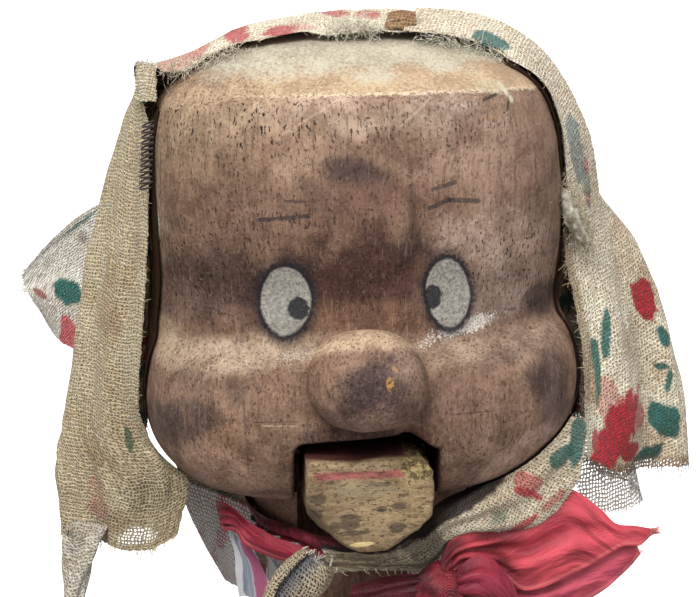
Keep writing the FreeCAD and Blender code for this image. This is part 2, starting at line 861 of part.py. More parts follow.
def make_ribbon_right_loop():
    """The bow's right loop, which climbs behind the chin band and ends in a frayed edge."""
    stations = [
        (0.0, 1.5, 1.0, 0.35 * ribbon_width),
        (0.17 * ribbon_loop_length, 5.5, 7.0, 0.75 * ribbon_width),
        (0.50 * ribbon_loop_length, 8.4, 15.0, ribbon_width),
        (0.75 * ribbon_loop_length, 8.4, 16.5, 0.85 * ribbon_width),
        (ribbon_loop_length, 8.8, 15.5, 0.4 * ribbon_width),
    ]
    return bow_piece(stations, 1, ribbon_loop_thickness)


def make_ribbon_right_tail():
    """The right tail, behind the loop and lower."""
    stations = [
        (0.0, 7.2, -4.0, 0.3 * ribbon_width),
        (0.4 * ribbon_tail_length, 11.0, -1.0, 0.7 * ribbon_width),
        (ribbon_tail_length, 12.2, 4.0, 0.7 * ribbon_width),
    ]
    return bow_piece(stations, 1, ribbon_thickness)


def make_ribbon_left_loop():
    """The bow's left loop, bunched up under the jaw."""
    stations = [
        (0.0, 0.5, 0.0, 0.35 * ribbon_width),
        (0.2 * ribbon_loop_length, 1.5, -3.0, 0.6 * ribbon_width),
        (0.36 * ribbon_loop_length, 2.5, -6.0, 0.5 * ribbon_width),
    ]
    return bow_piece(stations, -1, ribbon_loop_thickness)


def make_ribbon_hanging_tail():
    """The second tail, hanging down from under the knot."""
    y = -ribbon_knot_forward
    top = ribbon_knot_height - ribbon_knot_size / 2 - layer_gap
    stations = [
        ((ribbon_knot_side, y, top), 0.5 * ribbon_width),
        ((ribbon_knot_side + 2.0, y - 1.0, top - 0.35 * ribbon_tail_length), ribbon_width),
        ((ribbon_knot_side + 8.0, y - 2.0, top - ribbon_tail_length), ribbon_width),
    ]
    return rounded_bar(
        [(centre, width, ribbon_thickness) for centre, width in stations], X_AXIS, Y_AXIS
    )


def dress_form(inset):
    """The dress's outer shape, from hem to shoulders, drawn in all round by inset."""
    rings = [
        folded_ring(wide - inset, deep - inset, z, squareness, fold)
        for z, wide, deep, squareness, fold in DRESS_LEVELS
    ]
    neck_ring = neck_foot_radius + collar_lift() + dress_neck_seam - inset
    rings.append(folded_ring(neck_ring, neck_ring, -collar_gap, 2.0, 0.0))
    return Part.makeLoft(rings, True, True)


def tack_bars(radius, start, length):
    """Short bars that point at the neck's axis, one for each tack, from start inwards."""
    bars = []
    for turn in tack_turns:
        way = vec(math.cos(math.radians(turn)), math.sin(math.radians(turn)), 0)
        bars.append(cylinder(radius, length, way * start + vec(0, 0, tack_height), way * -1))
    return bars


def collar_face():
    """How far out the collar's outer face stands at the tacks."""
    return neck_waist_radius + collar_lift()


def make_dress():
    """The glove body: an open-ended shell with a gathered collar, an open throat and armholes."""
    shell = dress_form(0.0).cut(dress_form(dress_thickness))
    foot = -collar_lift()
    collar = turned(neck_profile(collar_lift(), foot) + neck_profile(collar_gap, foot)[::-1])
    collar = collar.cut(box((-FAR, -FAR, collar_height), (FAR, FAR, FAR)))
    collar = collar.cut(box((-FAR, -FAR, throat_foot), (FAR, -throat_edge, FAR)))
    dress = shell.fuse(collar)
    for hole in tack_bars(tack_radius + pin_grip, collar_face() + dress_thickness, tack_length):
        dress = dress.cut(hole)
    for side in (-1, 1):
        armhole = Part.makeSphere(puff_radius + puff_gap, vec(side * shoulder_x, 0, -shoulder_drop))
        dress = dress.cut(armhole)
    return dress


def make_collar_tacks():
    """Round-headed tacks that hold the collar on the neck."""
    face = collar_face()
    heads = tack_bars(tack_head_radius, face + tack_head_thickness, tack_head_thickness)
    shanks = tack_bars(tack_radius, face, tack_length)
    return Part.makeCompound([head.fuse(shank) for head, shank in zip(heads, shanks)])


def make_hem_band():
    """A band of a plainer cloth sewn round the outside of the hem."""
    outer = dress_form(-hem_band_thickness)
    band = outer.cut(dress_form(0.0))
    top = -dress_length + hem_band_height
    return band.cut(box((-FAR, -FAR, top), (FAR, FAR, FAR)))


def arm_placed(shape):
    """A shape built hanging straight down from the origin, moved to the left shoulder and swung out."""
    shape.rotate(vec(0, 0, 0), Y_AXIS, 90 - arm_droop)
    shape.translate(vec(-shoulder_x, 0, -shoulder_drop))
    return shape


def make_left_sleeve():
    """A round puff at the shoulder with a mouth towards the dress, and the sleeve's tube."""
    down = Z_AXIS * -1
    origin = vec(0, 0, 0)
    outer = Part.makeSphere(puff_radius).fuse(cylinder(sleeve_radius, sleeve_length, origin, down))
    inner = Part.makeSphere(puff_radius - sleeve_thickness)
    inner = inner.fuse(cylinder(sleeve_radius - sleeve_thickness, FAR, origin, down))
    mouth_turn = math.radians(puff_mouth_angle + arm_droop - 90)
    mouth_way = vec(-math.cos(mouth_turn), 0, math.sin(mouth_turn))
    mouth = cylinder(puff_mouth_radius, FAR, origin, mouth_way)
    return arm_placed(outer.cut(inner).cut(mouth))


def make_left_cuff():
    """A gathered band round the end of the sleeve."""
    inner = sleeve_radius + glue_gap / 2
    foot = vec(0, 0, -sleeve_length)
    cuff = cylinder(inner + cuff_thickness, cuff_height, foot, Z_AXIS)
    return arm_placed(cuff.cut(cylinder(inner, cuff_height, foot, Z_AXIS)))


def make_left_hand():
    """A carved mitten hand whose wrist is glued into the sleeve."""
    wrist_radius = sleeve_radius - sleeve_thickness - glue_gap
    wrist_foot = -sleeve_length - wrist_shown
    wrist = cylinder(wrist_radius, wrist_length + wrist_shown, vec(0, 0, wrist_foot), Z_AXIS)
    tip = wrist_foot - palm_length
    palm = rounded_bar(
        [
            ((0, 0, wrist_foot + wrist_shown / 2), 1.8 * wrist_radius, 1.6 * wrist_radius),
            ((0, 0, wrist_foot - 0.3 * palm_length), palm_width, palm_thickness),
            ((0, 0, wrist_foot - 0.75 * palm_length), 0.95 * palm_width, 0.8 * palm_thickness),
            ((0, 0, tip), 0.5 * palm_width, 0.45 * palm_thickness),
        ],
        Y_AXIS,
        X_AXIS,
    )
    thumb = round_ended_pin(1.25 * thumb_radius, thumb_radius, thumb_length)
    thumb.rotate(vec(0, 0, 0), X_AXIS, 180 - thumb_spread)
    thumb.translate(vec(0, -0.3 * palm_width, wrist_foot - 0.15 * palm_length))
    return arm_placed(wrist.fuse(palm).fuse(thumb))


def main():
    os.makedirs("parts", exist_ok=True)
    makers = {
        "head": make_head,
        "nose": make_nose,
        "nose_dowel": make_nose_dowel,
        "neck": make_neck,
        "neck_pegs": make_neck_pegs,
        "jaw": make_jaw,
        "jaw_pin": make_jaw_pin,
        "jaw_lever": make_jaw_lever,
        "lever_screws": make_lever_screws,
        "jaw_spring": make_jaw_spring,
        "spring_anchor_pin": make_spring_anchor_pin,
        "scarf_hood": make_scarf_hood,
        "scarf_right_drape": make_scarf_right_drape,
        "scarf_under_layer": make_scarf_under_layer,
        "scarf_left_fall": make_scarf_left_fall,
        "scarf_back_fall": make_scarf_back_fall,
        "scarf_back_corner": make_scarf_back_corner,
        "scarf_twist": make_scarf_twist,
        "scarf_chin_band": make_scarf_chin_band,
        "scarf_chin_knot": make_scarf_chin_knot,
        "ribbon_band": make_ribbon_band,
        "ribbon_knot": make_ribbon_knot,
        "ribbon_right_loop": make_ribbon_right_loop,
        "ribbon_right_tail": make_ribbon_right_tail,
        "ribbon_left_loop": make_ribbon_left_loop,
        "ribbon_hanging_tail": make_ribbon_hanging_tail,
        "dress": make_dress,
        "collar_tacks": make_collar_tacks,
        "hem_band": make_hem_band,
    }
    shapes = {name: maker() for name, maker in makers.items()}
    arm_makers = {"sleeve": make_left_sleeve, "cuff": make_left_cuff, "hand": make_left_hand}
    for name, maker in arm_makers.items():
        shapes["left_" + name] = maker()
        shapes["right_" + name] = mirrored(maker())
    for name, shape in shapes.items():
        print(name, "solids", len(shape.Solids), "volume", round(shape.Volume), "valid", shape.isValid())
        shape.exportStep("parts/" + name + ".step")


main()
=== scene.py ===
import math

import bpy
import numpy as np
from mathutils import Matrix


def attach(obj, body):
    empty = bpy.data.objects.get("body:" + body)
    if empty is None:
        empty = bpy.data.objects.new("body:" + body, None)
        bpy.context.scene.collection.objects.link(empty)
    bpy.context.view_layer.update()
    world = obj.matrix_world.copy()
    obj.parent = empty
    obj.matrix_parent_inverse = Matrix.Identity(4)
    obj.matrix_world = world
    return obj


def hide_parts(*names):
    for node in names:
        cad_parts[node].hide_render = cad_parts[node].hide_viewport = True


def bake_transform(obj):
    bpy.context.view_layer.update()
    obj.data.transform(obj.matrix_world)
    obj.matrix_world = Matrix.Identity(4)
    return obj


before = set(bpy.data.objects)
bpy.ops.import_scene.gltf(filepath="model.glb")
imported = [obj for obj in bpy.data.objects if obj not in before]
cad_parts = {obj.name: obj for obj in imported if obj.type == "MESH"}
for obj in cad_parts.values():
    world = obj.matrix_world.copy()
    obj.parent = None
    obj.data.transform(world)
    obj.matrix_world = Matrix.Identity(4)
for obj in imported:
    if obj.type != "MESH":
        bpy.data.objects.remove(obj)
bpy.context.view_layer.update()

# A carved wooden hand puppet in a printed scarf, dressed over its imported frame.
# Lengths in this script are millimetres, in the frame's own axes, and meshes are turned to metres at the end.
# The face looks along -Y, +X is the viewer's right, and z is 0 at the foot of the neck.
MM = 0.001
PI = math.pi
FAR = 400.0
STAIN_EDGE = 0.42


def smooth(value, low, high):
    """0 below low, 1 above high, and an even S between them."""
    share = np.clip((value - low) / (high - low), 0.0, 1.0)
    return share * share * (3 - 2 * share)


def unit(vectors):
    """Vectors along the last axis, each made 1 long."""
    return vectors / np.maximum(np.linalg.norm(vectors, axis=-1, keepdims=True), 1e-9)


def soft_max(a, b, radius):
    """The larger of two fields, with the edge where they meet rounded."""
    near = np.clip(radius - np.abs(a - b), 0.0, None) / radius
    return np.maximum(a, b) + near * near * radius / 4


def profile(value, stations):
    """A smooth curve through pairs of place and size, read at value."""
    places = np.array([place for place, size in stations], float)
    sizes = np.array([size for place, size in stations], float)
    slopes = np.gradient(sizes, places)
    where = np.clip(np.searchsorted(places, value) - 1, 0, len(places) - 2)
    run = places[where + 1] - places[where]
    t = np.clip((value - places[where]) / run, 0.0, 1.0)
    start = (2 * t**3 - 3 * t**2 + 1) * sizes[where] + (t**3 - 2 * t**2 + t) * run * slopes[where]
    end = (3 * t**2 - 2 * t**3) * sizes[where + 1] + (t**3 - t**2) * run * slopes[where + 1]
    return start + end


def lattice(cells, seed):
    """A repeatable number from 0 to 1 for each whole-number cell."""
    mixed = cells[..., 0] * 12.9898 + cells[..., 1] * 78.233 + cells[..., 2] * 37.719 + seed * 4.1414
    value = np.sin(mixed) * 43758.5453
    return value - np.floor(value)


def noise(points, size, seed, octaves=3):
    """Soft noise from about -1 to 1 whose lumps are size across. Size may differ along x, y and z."""
    total = np.zeros(points.shape[:-1])
    strength = 1.0
    scaled = points / np.asarray(size, float)
    for octave in range(octaves):
        place = scaled * 2**octave + 17.3 * octave
        base = np.floor(place)
        part = place - base
        part = part * part * (3 - 2 * part)
        value = 0.0
        for corner in np.ndindex(2, 2, 2):
            offset = np.array(corner, float)
            weight = np.prod(np.where(offset > 0, part, 1 - part), axis=-1)
            value = value + weight * lattice(base + offset, seed + octave)
        total += strength * (2 * value - 1)
        strength *= 0.5
    return total


def blot(points, centre, radii, turn=0.0, edge=0.4, uneven=0.0):
    """1 inside an ellipse drawn on the head's front, as seen along Y, and 0 outside. Uneven bends its rim."""
    angle = math.radians(turn)
    dx = points[:, 0] - centre[0]
    dz = points[:, 2] - centre[1]
    along = dx * math.cos(angle) + dz * math.sin(angle)
    across = dz * math.cos(angle) - dx * math.sin(angle)
    reach = np.hypot(along / radii[0], across / radii[1]) + uneven
    return (1 - smooth(reach, 1 - edge, 1 + edge)) * smooth(-points[:, 1], 5, 20)


def one_tint(shape, tint):
    """The same colour at every point of a list or a grid of that shape."""
    return np.tile(np.array(rgb(*tint)), tuple(shape) + (1,))


def over(colour, top, share):
    """Colours with a share, from 0 to 1, of others over them. Each is one tint or an array of colours."""
    colour, top = (np.array(rgb(*each)) if isinstance(each, tuple) else each for each in (colour, top))
    share = share[..., None]
    return colour * (1 - share) + top * share


def stained(points, ground, stains, uneven):
    """The wood's colour at each point: the ground, with a soft uneven patch for each entry of the list: stains,
    and on the head also painted shade and painted highlights.
    """
    colour = one_tint((len(points),), ground)
    for centre, radii, turn, tint, strength in stains:
        colour = over(colour, tint, strength * blot(points, centre, radii, turn, STAIN_EDGE, uneven))
    return colour


def polygon_field(x, z, corners):
    """Distance to a closed outline in the XZ plane, negative inside."""
    nearest = np.full(x.shape, FAR)
    inside = np.zeros(x.shape, bool)
    for (ax, az), (bx, bz) in zip(corners, corners[1:] + corners[:1]):
        ex, ez = bx - ax, bz - az
        share = np.clip(((x - ax) * ex + (z - az) * ez) / (ex * ex + ez * ez), 0.0, 1.0)
        nearest = np.minimum(nearest, np.hypot(x - ax - share * ex, z - az - share * ez))
        if az != bz:
            crosses = (az > z) != (bz > z)
            inside ^= crosses & (x < ax + (z - az) / (bz - az) * ex)
    return np.where(inside, -nearest, nearest)


def surface_net(field, low, high, step):
    """Points and quads of the surface where field is zero, on a grid of that step."""
    axes = [np.arange(low[i], high[i] + step, step) for i in range(3)]
    grid = np.stack(np.meshgrid(*axes, indexing="ij"), -1)
    values = field(grid)
    inside = values < 0
    cells = tuple(n - 1 for n in values.shape)
    total = np.zeros(cells + (3,))
    count = np.zeros(cells)
    for axis in range(3):
        others = [i for i in range(3) if i != axis]
        for sides in np.ndindex(2, 2):
            start = np.zeros(3, int)
            start[others[0]], start[others[1]] = sides
            end = start.copy()
            end[axis] = 1
            a = values[tuple(slice(s, s + c) for s, c in zip(start, cells))]
            b = values[tuple(slice(s, s + c) for s, c in zip(end, cells))]
            crossing = (a < 0) != (b < 0)
            share = np.where(crossing, a / np.where(crossing, a - b, 1.0), 0.0)
            for i in range(3):
                total[..., i] += crossing * (start[i] + (share if i == axis else 0.0))
            count += crossing
    active = count > 0
    index = np.full(cells, -1)
    index[active] = np.arange(active.sum())
    where = np.argwhere(active)
    points = np.array(low) + step * (where + total[active] / count[active][:, None])
    quads = []
    for axis in range(3):
        one, two = [i for i in range(3) if i != axis]
        ahead = [slice(None)] * 3
        ahead[axis] = slice(1, None)
        behind = [slice(None)] * 3
        behind[axis] = slice(None, -1)
        crossing = np.argwhere(inside[tuple(behind)] != inside[tuple(ahead)])
        keep = (crossing[:, one] > 0) & (crossing[:, two] > 0)
        keep &= (crossing[:, one] < cells[one]) & (crossing[:, two] < cells[two])
        crossing = crossing[keep]
        ring = []
        for da, db in ((1, 1), (0, 1), (0, 0), (1, 0)):
            place = crossing.copy()
            place[:, one] -= da
            place[:, two] -= db
            ring.append(index[tuple(place.T)])
        quad = np.stack(ring, 1)
        flip = inside[tuple(crossing.T)]
        if axis != 1:
            flip = ~flip
        quad[flip] = quad[flip][:, ::-1]
        quads.append(quad)
    return points, np.concatenate(quads)


def rgb(red, green, blue):
    """A colour as light, from its 0 to 255 numbers on a screen."""
    share = np.array([red, green, blue]) / 255
    light = np.where(share <= 0.04045, share / 12.92, ((share + 0.055) / 1.055) ** 2.4)
    return (*(float(value) for value in light), 1.0)


class Wire:
    """A value in a shader that is added, multiplied and compared like a number."""

    def __init__(self, look, socket):
        self.look = look
        self.socket = socket

    def __add__(self, other):
        return self.look.sum("ADD", self, other)

    def __sub__(self, other):
        return self.look.sum("SUBTRACT", self, other)

    def __rsub__(self, other):
        return self.look.sum("SUBTRACT", other, self)

    def __mul__(self, other):
        return self.look.sum("MULTIPLY", self, other)

    __radd__ = __add__
    __rmul__ = __mul__


class Look:
    """A material being made. Its places are in mm of the object, and its threads in mm of cloth."""

    def __init__(self, name, **sockets):
        self.material = bpy.data.materials.new(name)
        self.material.use_nodes = True
        self.tree = self.material.node_tree
        self.shader = self.tree.nodes["Principled BSDF"]
        for socket, value in sockets.items():
            self.shader.inputs[socket.replace("_", " ")].default_value = value

    def node(self, kind, inputs, output=0, **settings):
        made = self.tree.nodes.new("ShaderNode" + kind)
        for setting, value in settings.items():
            setattr(made, setting, value)
        for key, value in inputs.items():
            if isinstance(value, Wire):
                self.tree.links.new(value.socket, made.inputs[key])
            else:
                made.inputs[key].default_value = value
        return Wire(self, made.outputs[output])

    def sum(self, operation, a, b=0.0, clamp=False):
        return self.node("Math", {0: a, 1: b}, operation=operation, use_clamp=clamp)

    def between(self, value, low, high):
        """0 where value is low, 1 where it is high, and an even S between them."""
        return self.node("MapRange", {0: value, 1: low, 2: high}, interpolation_type="SMOOTHSTEP")

    def mix(self, share, a, b, kind="MIX"):
        return self.node("Mix", {0: share, 6: a, 7: b}, 2, data_type="RGBA", blend_type=kind)

    def place(self):
        local = self.node("TexCoord", {}, 3)
        return self.stretch(local, (1 / MM, 1 / MM, 1 / MM))

    def stretch(self, vector, scale):
        return self.node("VectorMath", {0: vector, 1: scale}, operation="MULTIPLY")

    def split(self, vector):
        made = self.tree.nodes.new("ShaderNodeSeparateXYZ")
        self.tree.links.new(vector.socket, made.inputs[0])
        return [Wire(self, output) for output in made.outputs]

    def join(self, x, y, z):
        return self.node("CombineXYZ", {0: x, 1: y, 2: z})

    def noise(self, vector, scale, detail=3.0, rough=0.5, bend=0.0):
        sizes = {"Vector": vector, "Scale": scale, "Detail": detail, "Roughness": rough, "Distortion": bend}
        return self.node("TexNoise", sizes)

    def painted(self, name, output=2):
        """A layer painted on the mesh: output 0 is its colour, 1 its vector and 2 its strength."""
        return self.node("Attribute", {}, output, attribute_name=name)

    def oval(self, x, z, centre, radii, turn=0.0):
        """1 on an ellipse's edge, less inside it and more outside."""
        angle = math.radians(turn)
        dx, dz = x - centre[0], z - centre[1]
        along = (dx * math.cos(angle) + dz * math.sin(angle)) * (1 / radii[0])
        across = (dz * math.cos(angle) - dx * math.sin(angle)) * (1 / radii[1])
        return self.sum("SQRT", along * along + across * across)

    def spot(self, x, z, centre, radii, turn, low, high):
        """1 inside an ellipse and 0 outside, with an edge from low to high of its radii."""
        return 1 - self.between(self.oval(x, z, centre, radii, turn), low, high)

    def stroke(self, x, z, start, end, half_width, softness=0.3):
        """1 on a thin line between two points, and 0 away from it."""
        ex, ez = end[0] - start[0], end[1] - start[1]
        dx, dz = x - start[0], z - start[1]
        share = self.sum("MULTIPLY", dx * ex + dz * ez, 1 / (ex * ex + ez * ez), clamp=True)
        dx, dz = dx - share * ex, dz - share * ez
        distance = self.sum("SQRT", dx * dx + dz * dz)
        return 1 - self.between(distance, half_width - softness, half_width + softness)

    def finish(self, colour, roughness, height, alpha=None):
        """Joins colour, roughness and a relief in mm to the shader."""
        bump = self.node("Bump", {"Height": height, "Strength": 1.0, "Distance": MM})
        wires = {"Base Color": colour, "Roughness": roughness, "Normal": bump, "Alpha": alpha}
        for socket, wire in wires.items():
            if wire is not None:
                self.tree.links.new(wire.socket, self.shader.inputs[socket])
        return self.material


def piece(name, points, faces, material, body="root", replaces=(), paint=None):
    """A mesh of the object: points in mm, faces as rows of indices, and any painted layers by name."""
    faces = np.asarray(faces)
    mesh = bpy.data.meshes.new(name)
    mesh.vertices.add(len(points))
    mesh.vertices.foreach_set("co", (np.asarray(points) * MM).astype(np.float32).ravel())
    sides = faces.shape[1]
    mesh.loops.add(faces.size)
    mesh.loops.foreach_set("vertex_index", faces.astype(np.int32).ravel())
    mesh.polygons.add(len(faces))
    mesh.polygons.foreach_set("loop_start", np.arange(0, faces.size, sides, dtype=np.int32))
    mesh.polygons.foreach_set("loop_total", np.full(len(faces), sides, dtype=np.int32))
    mesh.polygons.foreach_set("use_smooth", np.ones(len(faces), bool))
    mesh.update(calc_edges=True)
    for layer_name, values in (paint or {}).items():
        values = np.asarray(values, np.float32)
        kind, key = {1: ("FLOAT", "value"), 3: ("FLOAT_VECTOR", "vector"), 4: ("FLOAT_COLOR", "color")}[
            1 if values.ndim == 1 else values.shape[1]
        ]
        layer = mesh.attributes.new(layer_name, kind, "POINT")
        layer.data.foreach_set(key, values.ravel())
    mesh.materials.append(material)
    made = bpy.data.objects.new(name, mesh)
    bpy.context.scene.collection.objects.link(made)
    if body:
        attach(made, body)
    if replaces:
        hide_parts(*replaces)
    return made


def grid_faces(rows, columns, closed=False):
    """Quads over a grid of points numbered row by row. Closed joins the last column to the first."""
    row, column = np.meshgrid(np.arange(rows - 1), np.arange(columns if closed else columns - 1), indexing="ij")
    after = (column + 1) % columns
    first, second = row * columns, (row + 1) * columns
    ring = [first + column, first + after, second + after, second + column]
    return np.stack([corner.ravel() for corner in ring], 1)


def spline(stations, count):
    """Points along a smooth curve through stations, which lie along the first axis."""
    stations = np.asarray(stations, float)
    first = 2 * stations[:1] - stations[1:2]
    last = 2 * stations[-1:] - stations[-2:-1]
    padded = np.concatenate([first, stations, last])
    place = np.linspace(0, len(stations) - 1, count)
    where = np.minimum(place.astype(int), len(stations) - 2)
    t = (place - where).reshape((-1,) + (1,) * (stations.ndim - 1))
    a, b, c, d = (padded[where + i] for i in range(4))
    return 0.5 * (2 * b + (c - a) * t + (2 * a - 5 * b + 4 * c - d) * t**2 + (3 * b - a - 3 * c + d) * t**3)


def loft(rows, long_count, wide_count):
    """A grid of points over rows of control points, smooth both ways."""
    lines = spline(rows, long_count)
    return np.swapaxes(spline(np.swapaxes(lines, 0, 1), wide_count), 0, 1)


def grid_normals(grid):
    """The direction square to the cloth at each point of a grid."""
    along = np.gradient(grid, axis=0)
    across = np.gradient(grid, axis=1)
    return unit(np.cross(across, along))


def grid_shares(grid):
    """How far along its rows and columns each point of a grid is, from 0 to 1."""
    rows, columns = grid.shape[:2]
    return np.meshgrid(np.linspace(0, 1, rows), np.linspace(0, 1, columns), indexing="ij")


def thread_lengths(grid):
    """How far across and along the cloth each point of a grid lies, in mm of cloth."""
    across = np.linalg.norm(np.diff(grid, axis=1), axis=-1)
    along = np.linalg.norm(np.diff(grid, axis=0), axis=-1)
    u = np.concatenate([np.zeros((len(grid), 1)), np.cumsum(across, 1)], 1)
    v = np.concatenate([np.zeros((1, grid.shape[1])), np.cumsum(along, 0)], 0)
    return u, v


# ---------------------------------------------------------------- carved wood


def carved_wood(name, grain_scale, pale, mid, dark, relief=1.0, paint=None):
    """Bare old wood, with small pits where the layer named pitted is strong and pale dust where dust is. With
    paint, a function that adds more, its ground is the layer named tint."""
    look = Look(name, Specular_IOR_Level=0.3)
    place = look.place()
    grain = look.noise(look.stretch(place, grain_scale), 0.9, 5.0, 0.6, 0.5)
    streak = look.noise(look.stretch(place, grain_scale), 2.4, 3.0, 0.65, 0.1)
    mottle = look.noise(place, 0.12, 5.0, 0.62, 0.6)
    fine = look.noise(place, 1.1, 5.0, 0.7)
    tone = look.between(mottle * 0.5 + grain * 0.2 + fine * 0.3, 0.38, 0.62)
    if paint:
        shade = look.mix(tone, (0.50, 0.45, 0.42, 1.0), (1.1, 1.1, 1.1, 1.0))
        colour = look.mix(1.0, look.painted("tint", 0), shade, "MULTIPLY")
    else:
        colour = look.mix(tone, rgb(*dark), rgb(*mid))
    flecks = look.between(streak * 0.5 + fine * 0.5, 0.54, 0.64)
    colour = look.mix(flecks * 0.16, colour, rgb(*pale))
    hatch_scale = tuple(min(1.0, 0.5 * value) for value in grain_scale)
    hatch = look.noise(look.stretch(place, hatch_scale), 2.6, 2.0, 0.5)
    colour = look.mix(look.between(hatch, 0.6, 0.65) * 0.35, colour, rgb(*(0.6 * value for value in dark)))
    colour = look.mix(look.between(hatch, 0.38, 0.33) * 0.1, colour, rgb(*pale))
    pit_scale = tuple(0.35 + 0.65 * value for value in grain_scale)
    pits = look.between(look.noise(look.stretch(place, pit_scale), 1.7, 2.0, 0.5), 0.61, 0.68)
    pits = pits * (look.painted("pitted") * 0.75 + 0.3)
    colour = look.mix(pits, colour, rgb(*(0.35 * value for value in dark)))
    grit = look.noise(place, 1.9, 4.0, 0.75)
    dust = look.between(look.painted("dust") + (grit - 0.5) * 2.8, 0.45, 0.8)
    colour = look.mix(dust * 0.95, colour, rgb(214, 208, 198))
    height = (grain * 0.25 + fine * 0.3 - pits * 0.5) * relief
    rough = 0.64 + fine * 0.2
    if paint:
        colour, rough, height = paint(look, place, colour, rough, height, fine)
    return look.finish(colour, rough, height)


def paint_face(look, place, colour, rough, height, fine):
    """The bare rim over the forehead, with a pale line on its edge that is worn wood and a painted highlight,
    the eyes, brows, scratches and chips on the front of the head, a red-brown painted shadow in the notch at
    the mouth's right corner, and painted shade that darkens the inside of the mouth slot.
    """
    x, y, z = look.split(place)
    front = look.between(y, -20, -30)
    broad = look.noise(place, 0.09, 4.0, 0.6)
    x = x + (fine - 0.5) * 1.1
    z = z + (fine - 0.5) * 0.9
    wavy = z + (broad - 0.5) * 1.2
    rim = look.between(wavy, 154.2, 154.5) * look.between(x, -44, -14) * front
    bare = look.mix(look.between(fine * 0.6 + broad * 0.4, 0.42, 0.58), rgb(162, 136, 108), rgb(198, 172, 138))
    colour = look.mix(rim * 0.88, colour, bare)
    # A pale line along the rim's edge: worn wood and a painted highlight on the edge
    worn = look.between(wavy, 153.8, 154.2) * (1 - look.between(wavy, 154.8, 155.2))
    worn = worn * look.between(x, -34, -10) * front * look.between(fine, 0.42, 0.56)
    colour = look.mix(worn * 0.5, colour, rgb(224, 206, 180))
    fluff = look.between(z + (broad - 0.5) * 16, 158.0, 163.0)
    wad = look.mix(look.between(fine * 0.6 + broad * 0.4, 0.36, 0.62), rgb(150, 142, 122), rgb(190, 185, 165))
    colour = look.mix(fluff * 0.85, colour, wad)
    outline = rgb(30, 28, 36)
    paint_white = look.mix(look.between(fine, 0.35, 0.62), rgb(131, 127, 118), rgb(171, 167, 157))
    specks = look.between(look.noise(place, 2.3, 2.0, 0.6), 0.6, 0.66)
    paint_white = look.mix(specks * (look.between(x, -5, 5) * 0.55 + 0.35), paint_white, rgb(58, 52, 48))
    eyes = [
        ((-20.0, 103.2), (6.4, 9.3), -3.0, (-16.7, 101.2), (3.0, 3.1)),
        ((21.3, 103.8), (5.8, 9.1), 6.0, (17.3, 103.0), (2.4, 3.5)),
    ]
    for centre, radii, turn, pupil, pupil_radii in eyes:
        reach = look.oval(x, z, centre, radii, turn) + (broad - 0.5) * 0.25
        halo = (1 - look.between(reach, 1.05, 1.5)) * front
        colour = look.mix(halo * 0.6, colour, outline)
        ring = (1 - look.between(reach + (fine - 0.5) * 0.5, 1.05, 1.22)) * front
        colour = look.mix(ring * 0.88, colour, outline)
        white = (1 - look.between(reach, 0.92, 1.02)) * front
        colour = look.mix(white, colour, paint_white)
        dark = look.oval(x, z, pupil, pupil_radii) + (fine - 0.5) * 0.5
        black = (1 - look.between(dark, 0.82, 1.05)) * (1 - look.between(reach, 1.1, 1.25)) * front
        colour = look.mix(black * 0.94, colour, rgb(24, 24, 31))
        colour = look.mix(specks * black * 0.4, colour, rgb(120, 118, 120))
        rough = rough - white * 0.12
        height = height + white * 0.1
    marks = [
        ((-25.8, 124.3), (-13.8, 125.0), 0.51, 0.75, (44, 40, 48)),
        ((-19.4, 128.9), (-14.6, 128.5), 0.39, 0.6, (44, 40, 48)),
        ((16.6, 126.0), (21.4, 127.9), 0.54, 0.75, (44, 40, 48)),
        ((21.2, 127.8), (28.9, 127.2), 0.60, 0.75, (44, 40, 48)),
        ((17.4, 130.6), (23.0, 132.2), 0.54, 0.7, (44, 40, 48)),
        ((-19.6, 145.6), (-4.6, 154.2), 0.36, 0.4, (196, 168, 146)),
        ((9.6, 146.8), (17.6, 153.6), 0.3, 0.35, (196, 168, 146)),
        ((-27.0, 73.8), (-18.5, 73.3), 0.2, 0.55, (206, 180, 150)),
        ((-29.0, 74.5), (-18.5, 74.3), 0.14, 0.5, (60, 42, 36)),
        ((20.0, 74.4), (31.0, 75.0), 0.16, 0.4, (60, 42, 36)),
        ((12.2, 131.5), (12.0, 121.0), 0.8, 0.45, (70, 50, 44)),
        ((-31.5, 79.0), (-30.8, 60.0), 0.14, 0.35, (60, 42, 36)),
        ((31.0, 152.4), (34.2, 153.4), 0.42, 0.9, (44, 32, 26)),
        ((38.0, 153.2), (37.0, 149.4), 0.36, 0.8, (44, 32, 26)),
        ((35.8, 156.2), (38.4, 152.0), 0.5, 0.8, (196, 190, 166)),
    ]
    chips = [
        ((33.5, 155.2), (4.6, 1.9), -14, (0.6, 1.15), look.between(fine, 0.36, 0.56) * 0.7, (178, 170, 142)),
        ((32.6, 149.4), (4.2, 2.4), 0, (0.75, 1.1), look.between(fine * 0.5 + broad * 0.5, 0.42, 0.56) * 0.6,
         (160, 120, 76)),
        ((25.6, 151.2), (0.8, 1.6), 10, (0.5, 1.1), look.between(fine, 0.4, 0.55) * 0.6, (200, 178, 172)),
    ]
    for centre, radii, turn, edge, strength, tint in chips:
        colour = look.mix(look.spot(x, z, centre, radii, turn, *edge) * front * strength, colour, rgb(*tint))
    for start, end, half_width, strength, tint in marks:
        mark = look.stroke(x, z, start, end, half_width, 0.24) * front
        mark = mark * look.between(fine, 0.3, 0.5)
        colour = look.mix(mark * strength, colour, rgb(*tint))
        height = height - mark * 0.1
